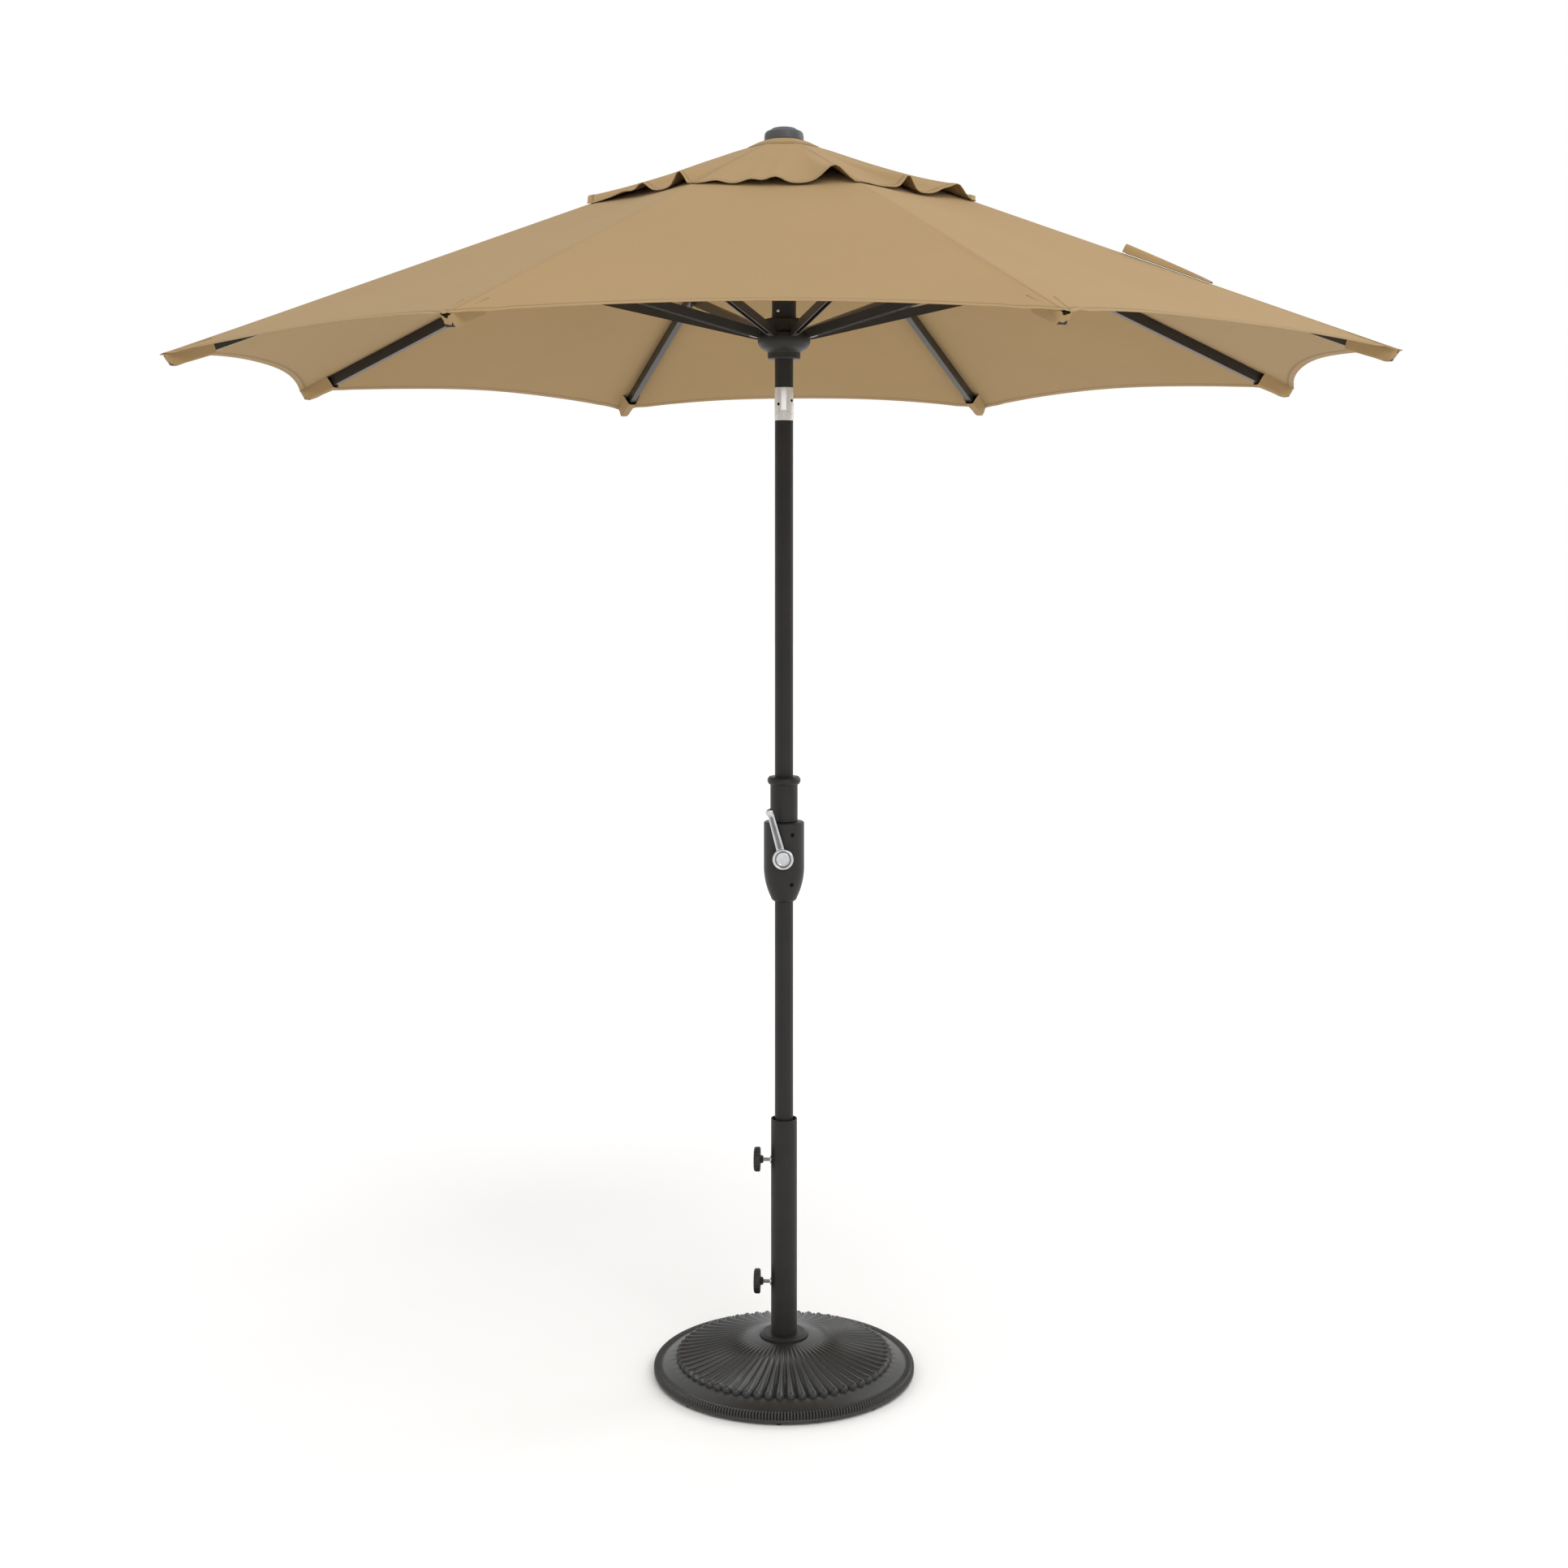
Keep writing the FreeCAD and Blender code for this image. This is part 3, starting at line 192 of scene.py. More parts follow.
def cloth(name, low, high):
    """Woven acrylic cloth: the weave runs along the UV axes, which are in metres on the cloth."""
    m, t, p = nodes_of(name)
    p.inputs["Roughness"].default_value = 0.88
    p.inputs["Specular IOR Level"].default_value = 0.22
    p.inputs["Sheen Weight"].default_value = 0.04
    p.inputs["Sheen Roughness"].default_value = 0.5
    uv = t.nodes.new("ShaderNodeUVMap")
    uv.uv_map = "cloth"
    split = t.nodes.new("ShaderNodeSeparateXYZ")
    t.links.new(uv.outputs["UV"], split.inputs[0])
    threads = 2 * math.pi / 0.0011
    warp = math_node(t, "SINE", math_node(t, "MULTIPLY", split.outputs["X"], threads))
    weft = math_node(t, "SINE", math_node(t, "MULTIPLY", split.outputs["Y"], threads))
    weave = math_node(t, "MULTIPLY", warp, weft)
    streak_a = t.nodes.new("ShaderNodeTexNoise")
    streak_b = t.nodes.new("ShaderNodeTexNoise")
    for n, stretch in ((streak_a, (900, 12, 1)), (streak_b, (12, 900, 1))):
        k = t.nodes.new("ShaderNodeMapping")
        k.inputs["Scale"].default_value = stretch
        t.links.new(uv.outputs["UV"], k.inputs["Vector"])
        t.links.new(k.outputs["Vector"], n.inputs["Vector"])
        n.inputs["Scale"].default_value = 1.0
        n.inputs["Detail"].default_value = 2
    both_streaks = math_node(t, "ADD", streak_a.outputs["Fac"], streak_b.outputs["Fac"])
    slub = math_node(t, "MULTIPLY", both_streaks, 0.5)
    cloud = noise(t, 3.0, 4, 0.55)
    tone = math_node(t, "ADD", math_node(t, "MULTIPLY", slub, 0.6), math_node(t, "MULTIPLY", cloud, 0.4))
    tone = math_node(t, "ADD", tone, math_node(t, "MULTIPLY", weave, 0.05))
    colour = ramp(t, tone, [(0.32, low), (0.68, high)])
    line = t.nodes.new("ShaderNodeAttribute")
    line.attribute_name = "stitch"
    dark = t.nodes.new("ShaderNodeMix")
    dark.data_type = "RGBA"
    t.links.new(math_node(t, "MULTIPLY", line.outputs["Fac"], 0.75), dark.inputs[0])
    t.links.new(colour, dark.inputs[6])
    dark.inputs[7].default_value = (low[0] * 0.5, low[1] * 0.5, low[2] * 0.5, 1)
    t.links.new(dark.outputs[2], p.inputs["Base Color"])
    height = math_node(t, "ADD", math_node(t, "MULTIPLY", weave, 0.5), slub)
    normal = bump(t, height, 0.00012, 0.6)
    normal = bump(t, noise(t, 9, 3, 0.5), 0.004, 0.25, normal)
    t.links.new(normal, p.inputs["Normal"])
    return m


TAN_LOW = (0.307, 0.203, 0.091)
TAN_HIGH = (0.342, 0.226, 0.103)
MATERIALS = {
    "canopy_cloth": cloth("woven_tan_cloth", TAN_LOW, TAN_HIGH),
    "black_tube": paint("black_bronze_powder_coat", (0.011, 0.010, 0.009), (0.016, 0.0145, 0.013), 0.42, 0.55,
                        1400, 0.00006),
    "black_housing": paint("black_moulded_housing", (0.012, 0.011, 0.010), (0.018, 0.0165, 0.015), 0.40, 0.5,
                           1100, 0.00007),
    "cast_base": paint("cast_base_enamel", (0.013, 0.0125, 0.012), (0.019, 0.018, 0.017), 0.29, 0.42,
                       420, 0.00015, specular=0.5, wear=(0.028, 0.027, 0.025)),
    "rib_paint": paint("rib_powder_coat", (0.020, 0.0175, 0.015), (0.028, 0.024, 0.021), 0.26, 0.38,
                       1200, 0.00005, specular=0.5),
    "fitting_paint": paint("fitting_black_enamel", (0.015, 0.014, 0.012), (0.022, 0.020, 0.018), 0.38, 0.5,
                           900, 0.00008),
    "finial_paint": paint("finial_grey_plastic", (0.050, 0.050, 0.055), (0.068, 0.068, 0.074), 0.38, 0.5,
                          800, 0.00006),
    "black_plastic": paint("black_knob_plastic", (0.014, 0.013, 0.013), (0.022, 0.021, 0.020), 0.38, 0.52,
                           700, 0.0001),
    "rubber_foot": paint("grey_rubber", (0.03, 0.03, 0.03), (0.045, 0.044, 0.042), 0.75, 0.9, 500, 0.0002),
    "bare_aluminium": metal("bare_aluminium", (0.62, 0.61, 0.59), (0.78, 0.77, 0.75), 0.22, 0.38,
                            (1, 1, 0.02), 90),
    "zinc_steel": metal("zinc_plated_steel", (0.55, 0.55, 0.54), (0.74, 0.74, 0.73), 0.24, 0.4,
                        (1, 1, 1), 60),
    "chrome_crank": metal("satin_chrome", (0.50, 0.51, 0.52), (0.62, 0.63, 0.64), 0.16, 0.28,
                          (1, 1, 1), 45, 0.00002),
    "dark_screw": metal("dark_steel", (0.004, 0.004, 0.004), (0.012, 0.012, 0.012), 0.5, 0.65, (1, 1, 1), 90),
}
# painted shade: a darker grey metal for strips in the crank's channel and hub groove, standing in for the
# shade of these recesses
RECESS_SHADE_GREY = metal("crank_recess_painted_shade", (0.14, 0.14, 0.145), (0.21, 0.21, 0.215), 0.3, 0.45, (1, 1, 1), 45)


# ---------------------------------------------------------------- mesh helpers

def finish_mesh(name, verts, faces, slot, uvs=None, angle=None):
    """A smooth shaded mesh object with its slot's material; edges sharper than angle stay sharp."""
    mesh = bpy.data.meshes.new(name)
    mesh.from_pydata([tuple(v) for v in verts], [], faces)
    mesh.update()
    if uvs is not None:
        layer = mesh.uv_layers.new(name="cloth")
        for loop in mesh.loops:
            layer.data[loop.index].uv = uvs[loop.vertex_index]
    mesh.validate()
    o = bpy.data.objects.new(name, mesh)
    bpy.context.scene.collection.objects.link(o)
    for p in mesh.polygons:
        p.use_smooth = True
    if angle is not None:
        mesh.set_sharp_from_angle(angle=math.radians(angle))
    o.data.materials.append(MATERIALS[slot])
    return o


def lathe(profile, steps=96, ripple=None):
    """Points and faces of a profile of (radius, height), turned about Z and closed where it meets the axis.
    ripple(k, angle, r, z) gives the new radius and height of a point."""
    verts, rings, faces = [], [], []
    for k, (r, z) in enumerate(profile):
        if r <= 1e-9:
            rings.append([len(verts)])
            verts.append((0, 0, z))
            continue
        ring = []
        for s in range(steps):
            a = 2 * math.pi * s / steps
            rr, zz = ripple(k, a, r, z) if ripple else (r, z)
            ring.append(len(verts))
            verts.append((rr * math.cos(a), rr * math.sin(a), zz))
        rings.append(ring)
    for a, b in zip(rings, rings[1:]):
        for s in range(steps):
            n = (s + 1) % steps
            if len(a) == 1:
                faces.append((a[0], b[n], b[s]))
            elif len(b) == 1:
                faces.append((a[s], a[n], b[0]))
            else:
                faces.append((a[s], a[n], b[n], b[s]))
    return verts, faces


def merge(*parts):
    """One (points, faces) from several, each with an optional matrix."""
    verts, faces = [], []
    for part in parts:
        v, f = part[0], part[1]
        m = part[2] if len(part) > 2 else Matrix.Identity(4)
        base = len(verts)
        verts += [m @ Vector(p) for p in v]
        faces += [tuple(base + i for i in face) for face in f]
    return verts, faces


def rounded(corners, radius_steps=5):
    """A profile whose corners (r, z, fillet) are rounded by arcs."""
    points = []
    n = len(corners)
    for k, (r, z, fillet) in enumerate(corners):
        here = Vector((r, z))
        if fillet <= 0 or k in (0, n - 1):
            points.append((r, z))
            continue
        before = Vector(corners[k - 1][:2]) - here
        after = Vector(corners[k + 1][:2]) - here
        cut = min(fillet, before.length * 0.48, after.length * 0.48)
        a, b = here + before.normalized() * cut, here + after.normalized() * cut
        for s in range(radius_steps + 1):
            t = s / radius_steps
            p = a * (1 - t) ** 2 + here * 2 * t * (1 - t) + b * t * t
            points.append((p.x, p.y))
    return points


def facing(place, out):
    """The matrix that puts a piece at a place with its Z along out."""
    return Matrix.Translation(place) @ out.to_track_quat("Z", "Y").to_matrix().to_4x4()


def outward(o):
    """Make the faces of a closed mesh point outwards."""
    b = bmesh.new()
    b.from_mesh(o.data)
    bmesh.ops.recalc_face_normals(b, faces=b.faces)
    b.to_mesh(o.data)
    b.free()
    return o


def add(name, part, slot, body, angle=35, stands_for=()):
    """A closed piece that rides on a body; stands_for names the CAD nodes it takes the place of."""
    o = outward(finish_mesh(name, part[0], part[1], slot, angle=angle))
    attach(o, body)
    if stands_for:
        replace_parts(o, *stands_for)
    return o


# ---------------------------------------------------------------- camera, lights, floor
# a level camera, a little to the right of the front; its shifted lens looks down to the base
DISTANCE, EYE, TURN = 4.267, 1.724, math.radians(2.3)
cam = bpy.data.cameras.new("camera")
cam.lens = 47.15
cam.sensor_width = 36
cam.shift_y = -0.155
cam.clip_end = 60
camera = bpy.data.objects.new("camera", cam)
camera.location = (DISTANCE * math.sin(TURN), -DISTANCE * math.cos(TURN), EYE)
camera.rotation_euler = (math.radians(90), 0, TURN)
bpy.context.scene.collection.objects.link(camera)
bpy.context.scene.camera = camera


def area_light(name, place, target, size, power):
    """A soft box that faces a target."""
    data = bpy.data.lights.new(name, "AREA")
    data.shape = "RECTANGLE"
    data.size, data.size_y = size
    data.energy = power
    o = bpy.data.objects.new(name, data)
    o.location = place
    o.rotation_euler = (Vector(target) - Vector(place)).to_track_quat("-Z", "Y").to_euler()
    bpy.context.scene.collection.objects.link(o)


area_light("key", (2.4, -4.5, 4.3), (0, 0, 1.7), (2.4, 2.4), 60)
area_light("rim", (3.6, 2.2, 3.4), (0, 0, 1.6), (1.6, 2.6), 40)
sun_data = bpy.data.lights.new("sky_panel", "SUN")
sun_data.energy = 0.75
sun_data.angle = math.radians(50)
sun = bpy.data.objects.new("sky_panel", sun_data)
sun.rotation_euler = (math.radians(24), math.radians(15), 0)
bpy.context.scene.collection.objects.link(sun)

bpy.context.scene.view_settings.view_transform = "Standard"
world = bpy.data.worlds.new("studio")
bpy.context.scene.world = world
world.use_nodes = True
world.node_tree.nodes["Background"].inputs["Color"].default_value = (1.0, 1.0, 1.0, 1)
world.node_tree.nodes["Background"].inputs["Strength"].default_value = 1.0

floor_mesh = bpy.data.meshes.new("floor")
FLOOR = 30
floor_mesh.from_pydata([(-FLOOR, -FLOOR, 0), (FLOOR, -FLOOR, 0), (FLOOR, FLOOR, 0), (-FLOOR, FLOOR, 0)], [],
                       [(0, 1, 2, 3)])
floor = bpy.data.objects.new("floor", floor_mesh)
bpy.context.scene.collection.objects.link(floor)
floor_mat, floor_tree, floor_p = nodes_of("pale_floor")
floor_tone = ramp(floor_tree, noise(floor_tree, 1.5, 3),
                  [(0.3, (0.90, 0.90, 0.90)), (0.7, (0.92, 0.92, 0.92))])
floor_tree.links.new(floor_tone, floor_p.inputs["Base Color"])
floor_p.inputs["Roughness"].default_value = 0.6
floor_mesh.materials.append(floor_mat)

# ---------------------------------------------------------------- CAD nodes that keep their shape
SLOT_OF = {part["node"]: part["material_slot"] for part in frame["record"]["subparts"]}
for name, node in frame["nodes"].items():
    node.data.materials.clear()
    node.data.materials.append(MATERIALS[SLOT_OF[name]])


def edge(name, width):
    """A small round along the sharp edges of a CAD node."""
    m = frame["nodes"][name].modifiers.new("edge", "BEVEL")
    m.width = width
    m.segments = 2
    m.limit_method = "ANGLE"
    m.angle_limit = math.radians(40)


# ---------------------------------------------------------------- canopy cloth

def panel_frame(azimuth):
    """(down the middle of the panel, across it, outward normal) of the flat panel at that azimuth."""
    mid = math.atan(math.tan(SLOPE) / math.cos(math.radians(22.5)))
    c, s = math.cos(azimuth), math.sin(azimuth)
    down = Vector((c * math.cos(mid), s * math.cos(mid), -math.sin(mid)))
    across = Vector((-s, c, 0))
    return down, across, down.cross(across)


TIP = TIP_RADIUS / math.cos(SLOPE)
MID_HEM = TIP * math.cos(HALF_CLOTH) - HEM_RISE


def main_point(t, y):
    """A point of a panel: t from the inner edge to the hem, y from 0 at the middle to 1 at a rib.
    Gives (down, across) in metres from the apex."""
    rib = (INNER_RADIUS / math.cos(SLOPE)) * (1 - t) + TIP * t
    middle = (INNER_RADIUS / math.cos(SLOPE)) * math.cos(HALF_CLOTH) * (1 - t) + MID_HEM * t
    bow = rib * math.cos(HALF_CLOTH) - middle
    return middle + bow * y * y, rib * math.sin(HALF_CLOTH) * y


def columns(width, near=(0, 0.0025, 0.005, 0.0062, 0.0075, 0.010), count=16):
    """Shares from the rib (1) to the middle (0), close together near the rib for the seam."""
    share = [1 - w / width for w in near]
    last = share[-1]
    return share + [last * (1 - k / count) for k in range(1, count + 1)]


def seam_height(w):
    """The felled seam along a rib: the cloth rounds over the rib and the seam stands a little proud."""
    crease = 0.0006 * max(0.0, 1 - w / 0.008) ** 2
    fell = 0.0007 * (1 - smooth((w - 0.0052) / 0.0012))
    return fell - crease


def main_height(t, y, w, from_hem, phase):
    """How far the cloth stands off its flat panel, in metres; phase shifts its ripples."""
    across = 1 - y
    sag = -0.007 * math.sin(math.pi * t) * math.sin(math.pi / 2 * across) ** 2
    hem = 0.0008 * (1 - smooth((from_hem - 0.011) / 0.0012))
    near_tip = math.exp(-((1 - y) / 0.16) ** 2) * math.exp(-(from_hem / 0.13) ** 2)
    pucker = 0.0022 * near_tip * math.sin(w / 0.0062 + phase) * smooth(w / 0.010)
    ripple = 0.0016 * math.sin(3.1 * t + 2.0 * phase) * math.sin(math.pi * across) ** 2 * t
    return seam_height(w) + sag + hem + pucker + ripple


def sharp_border(o):
    """Keep the edge of a sheet sharp, so that its thickness doesn't shade into its face."""
    uses = {}
    for p in o.data.polygons:
        for key in p.edge_keys:
            uses[key] = uses.get(key, 0) + 1
    for e in o.data.edges:
        if uses.get(e.key, 0) == 1:
            e.use_edge_sharp = True


def stitches(o, marks):
    """Mark how strongly each point lies on a stitched line, for the cloth's material."""
    layer = o.data.attributes.new("stitch", "FLOAT", "POINT")
    layer.data.foreach_set("value", marks)


def sheet_mesh(name, rows, uvs, slot="canopy_cloth", thickness=CLOTH, flip=False):
    """Rows of points as one sheet, with its thickness inwards."""
    verts = [p for row in rows for p in row]
    flat = [p for row in uvs for p in row]
    width = len(rows[0])
    faces = []
    for r in range(len(rows) - 1):
        for c in range(width - 1):
            a = r * width + c
            quad = (a, a + 1, a + width + 1, a + width)
            faces.append(quad[::-1] if flip else quad)
    o = finish_mesh(name, verts, faces, slot, uvs=flat)
    sharp_border(o)
    m = o.modifiers.new("thickness", "SOLIDIFY")
    m.thickness = thickness
    m.offset = -1
    m.use_rim = True
    return o


def petal(name, i, side, place, rows, cols_width):
    """Half a panel on rib i: side is 1 for the panel counter-clockwise of the rib, -1 for the other.
    place(t, y) gives (down, across, height, apex)."""
    rib = rib_azimuth(i)
    azimuth = rib + side * math.radians(22.5)
    down, across, normal = panel_frame(azimuth)
    shares = columns(cols_width)
    points, uvs, marks = [], [], []
    for t in rows:
        line, flat = [], []
        for c, y in enumerate(shares):
            marks.append(1.0 if c == 3 or abs(t - rows[-3]) < 1e-9 else 0.0)
            d, a, h, apex = place(t, y)
            p = Vector((0, 0, apex)) + down * d - across * (side * a) + normal * h
            line.append(p)
            flat.append((d, a))
        points.append(line)
        uvs.append(flat)
    o = sheet_mesh(name, points, uvs, flip=side > 0)
    stitches(o, marks)
    rib_line = Vector((math.cos(rib) * math.cos(SLOPE), math.sin(rib) * math.cos(SLOPE), -math.sin(SLOPE)))
    into = across * side
    into = (into - rib_line * into.dot(rib_line)).normalized()
    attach(o, "rib_arm_%d" % i)
    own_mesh(o)
    return o


# rows of points at these distances from the hem, close together for its turned edge
HEM_ROWS = (0.0, 0.0112, 0.0125, 0.020, 0.034, 0.05)


def main_rows(count=26):
    """Shares of the way from the inner edge of a main panel to its hem."""
    run = MID_HEM - 0.18
    tail = [1 - h / run for h in HEM_ROWS][::-1]
    first = tail[0]
    return [first * k / count for k in range(count)] + tail


def main_petal(i, side):
    """Half a panel of the main canopy, from the vent to the hem."""
    panel = i if side > 0 else (i - 2) % RIBS + 1

    def place(t, y):
        d, a = main_point(t, y)
        w = max(0.0, d * math.sin(HALF_CLOTH) - a * math.cos(HALF_CLOTH))
        hem_d, hem_a = main_point(1.0, y)
        from_hem = math.hypot(hem_d - d, hem_a - a)
        return d, a, main_height(t, y, w, from_hem, 1.3 * panel), APEX

    name = "canopy_%d_%s" % (i, "left" if side > 0 else "right")
    o = petal(name, i, side, place, main_rows(), 0.46)
    return o


for i in range(1, RIBS + 1):
    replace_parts(main_petal(i, 1), "canopy_gore_%d" % i)
    main_petal(i, -1)


# ---------------------------------------------------------------- the vent and the crown
# Bumps of each panel's loose hem: (place from -1 at one rib to 1 at the next, half width, height in mm).
LIFTS = {
    1: [(-0.5, 0.20, 14), (0.30, 0.16, 18)],
    2: [(0.0, 0.25, 12), (0.65, 0.14, 20)],
    3: [(-0.7, 0.15, 18), (0.20, 0.20, 12)],
    4: [(-0.6, 0.20, 15), (0.10, 0.30, 18), (0.75, 0.20, 22)],
    5: [(-0.25, 0.22, 10), (0.10, 0.13, 16), (0.80, 0.12, 24)],
    6: [(-0.70, 0.10, 4), (-0.30, 0.12, 7), (0.0, 0.12, 10), (0.70, 0.17, 30)],
    7: [(-0.20, 0.11, 26), (0.45, 0.15, 12), (0.68, 0.15, 26)],
    8: [(-0.60, 0.25, 18), (0.20, 0.30, 14)],
}


def lift(panel, s):
    """How high the loose hem of a vent panel stands off the cloth below, in metres."""
    total = sum(h * math.exp(-((s - c) / w) ** 2) for c, w, h in LIFTS[panel])
    return total * MM * smooth((1 - abs(s)) / 0.14)


# how high the vent lies over the main cloth at a radius
VENT_OFFSET = [(0.060, 0.0002), (0.074, 0.0008), (0.120, 0.0024), (0.190, 0.0032), (0.420, 0.0026)]


def table(points, x):
    """Smooth steps between (x, value) pairs."""
    for (x0, v0), (x1, v1) in zip(points, points[1:]):
        if x <= x1:
            return v0 + (v1 - v0) * smooth((x - x0) / (x1 - x0))
    return points[-1][1]


def vent_petal(i, side):
    """Half a panel of the vent, whose hem lies loose on the main cloth."""
    panel = i if side > 0 else (i - 2) % RIBS + 1

    def place(t, y):
        radius = VENT_START * (1 - t) + VENT_CORNER * t
        rib = radius / math.cos(SLOPE)
        d, a = rib * math.cos(HALF_CLOTH), rib * math.sin(HALF_CLOTH) * y
        w = max(0.0, d * math.sin(HALF_CLOTH) - a * math.cos(HALF_CLOTH))
        s = (-y if side > 0 else y)
        rise = lift(panel, s)
        free = t ** 2.6
        edge_band = 0.0007 * (1 - smooth(((1 - t) * VENT_RUN - 0.012) / 0.0015))
        flutter = 0.0015 * math.sin(9 * s + 2.0 * panel) * math.sin(5 * t) * t * smooth((1 - abs(s)) / 0.2)
        h = table(VENT_OFFSET, radius) + seam_height(w) + rise * free + edge_band + flutter
        return d - 0.35 * rise * free, a, h, APEX

    tail_rows = [1 - h / VENT_RUN for h in (0.0, 0.006, 0.012, 0.0135, 0.020, 0.030)][::-1]
    rows = [tail_rows[0] * k / 20 for k in range(20)] + tail_rows
    name = "vent_%d_%s" % (i, "left" if side > 0 else "right")
    o = petal(name, i, side, place, rows, 0.155)


for i in range(1, RIBS + 1):
    vent_petal(i, 1)
    vent_petal(i, -1)

CROWN = [(0.0400, 2.5541), (0.0440, 2.5530), (0.0500, 2.5508), (0.058, 2.5474), (0.066, 2.5432),
         (0.074, 2.5392), (0.0775, 2.5376), (0.079, 2.5370)]


def crown():
    """The patch round the finial: round at its middle, an octagon at its edge."""
    steps = 128
    verts, uvs, faces = [], [], []
    for k, (r, z) in enumerate(CROWN):
        share = smooth((r - 0.03) / 0.04)
        for n in range(steps):
            a = 2 * math.pi * n / steps
            from_mid = (a + math.pi / 8) % (math.pi / 4) - math.pi / 8
            octagon = math.cos(math.pi / 8) / math.cos(from_mid)
            rr = r * ((1 - share) + share * octagon)
            verts.append((rr * math.cos(a), rr * math.sin(a), z))
            uvs.append((rr * math.cos(a), rr * math.sin(a)))
    for k in range(len(CROWN) - 1):
        for n in range(steps):
            m = (n + 1) % steps
            faces.append((k * steps + n, (k + 1) * steps + n, (k + 1) * steps + m, k * steps + m))
    o = finish_mesh("crown_patch", verts, faces, "canopy_cloth", uvs=uvs)
    sharp_border(o)
    stitches(o, [1.0 if k == len(CROWN) - 3 else 0.0 for k in range(len(CROWN)) for n in range(steps)])
    m = o.modifiers.new("thickness", "SOLIDIFY")
    m.thickness = CLOTH
    m.offset = -1
    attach(o, "upper_mast")


crown()


def cap():
    """The low domed finial."""
    shape = rounded([(0, 2.5820, 0), (0.0200, 2.5815, 0.006), (0.0262, 2.5795, 0.004),
                     (0.0285, 2.5756, 0.002), (0.0345, 2.5748, 0.004), (0.0392, 2.5715, 0.005),
                     (0.0408, 2.5650, 0.004), (0.0410, 2.5560, 0.002), (0.0400, 2.5535, 0.001),
                     (0.0250, 2.5530, 0), (0, 2.5530, 0)], 6)
    add("finial_cap", lathe(shape, 128), "finial_paint", "upper_mast", angle=55, stands_for=("finial",))


cap()


# ---------------------------------------------------------------- rib pockets and the tie strap
def rib_frame(i):
    """(outward along rib i, sideways, up from the rib)."""
    a = rib_azimuth(i)
    along = Vector((math.cos(a) * math.cos(SLOPE), math.sin(a) * math.cos(SLOPE), -math.sin(SLOPE)))
    side = Vector((-math.sin(a), math.cos(a), 0))
    return along, side, along.cross(side)


POCKET = [  # distance back from the tip, depth, half width at the cloth, half width at the bottom, in mm
    (98, 31, 25, 10.5), (96, 31.3, 24.8, 10.5), (84, 31, 23, 10), (68, 30, 21, 9.5), (50, 29, 19, 9),
    (36, 28.5, 17, 9), (24, 28, 15.5, 8.8), (16, 27, 14.5, 8.4), (11, 23, 13.5, 7.5), (8, 15, 12, 6),
    (6, 7, 9, 4),
]


def pocket(i):
    """The cloth pocket that hangs under the canopy round the end of a rib."""
    along, side, up = rib_frame(i)
    rows, uvs = [], []
    columns_count = 24
    for back, depth, top, bottom in POCKET:
        origin = Vector((0, 0, APEX)) + along * (TIP - back * MM)
        line, flat, run = [], [], 0.0
        for k in range(columns_count + 1):
            q = 2 * k / columns_count - 1
            m = abs(q)
            if m < 0.34:
                w = bottom * (q / 0.34) * 0.92
                u = -depth - 0.8 * math.cos(math.pi / 2 * m / 0.34)
            else:
                f = (m - 0.34) / 0.66
                w = math.copysign((bottom + (top - bottom) * f ** 1.5) + 1.1 * math.sin(math.pi * f), q)
                u = -depth * (1 - f) - 2.2 * f
            crease = math.exp(-((back - 22) / 26) ** 2)
            w += crease * 1.5 * math.sin(q * 9 + back * 0.13 + i) * (1 - m ** 4)
            u += crease * 1.3 * math.sin(q * 7 - back * 0.21 + 2 * i) * (1 - m ** 4)
            line.append(origin + side * (w * MM) + up * (u * MM))
            flat.append((back * MM, q * (top + depth) * MM))
        rows.append(line)
        uvs.append(flat)
    o = sheet_mesh("pocket_%d" % i, rows, uvs, thickness=0.0011, flip=True)
    o.modifiers["thickness"].offset = 1
    sub = o.modifiers.new("smooth", "SUBSURF")
    sub.levels = sub.render_levels = 1
    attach(o, "rib_arm_%d" % i)


for i in range(1, RIBS + 1):
    pocket(i)


def tie_strap(i):
    """The closing strap, lying folded along one rib, open at its upper end."""
    along, side, up = rib_frame(i)
    rows, uvs = [], []
    start, end, count = 0.722, 0.892, 18
    for r in range(count + 1):
        f = r / count
        radius = start + (end - start) * f
        origin = Vector((0, 0, APEX)) + along * (radius / math.cos(SLOPE))
        high = 0.015 * (1 - f) ** 0.8 + 0.0028
        wide = 0.013 - 0.004 * f
        line, flat = [], []
        for k in range(15):
            q = 2 * k / 14 - 1
            u = high * (1 - abs(q) ** 2.6) + 0.0019
            w = wide * q + 0.0012 * math.sin(7 * f + 3 * q)
            line.append(origin + side * w + up * u)
            flat.append((radius, q * 0.03))
        rows.append(line)
        uvs.append(flat)
    o = sheet_mesh("tie_strap", rows, uvs, thickness=0.0012, flip=True)
    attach(o, "rib_arm_%d" % i)


tie_strap(8)


# ---------------------------------------------------------------- cast base
REEDS, KNURLS = 60, 264


def reed(a, r):
    """Height share of the reeds at an angle: narrow crests on the cone that widen into round ends."""
    wave = abs(math.cos(REEDS * a / 2))
    return wave ** 1.9 + (wave ** 1.1 - wave ** 1.9) * smooth((r - 0.150) / 0.06)


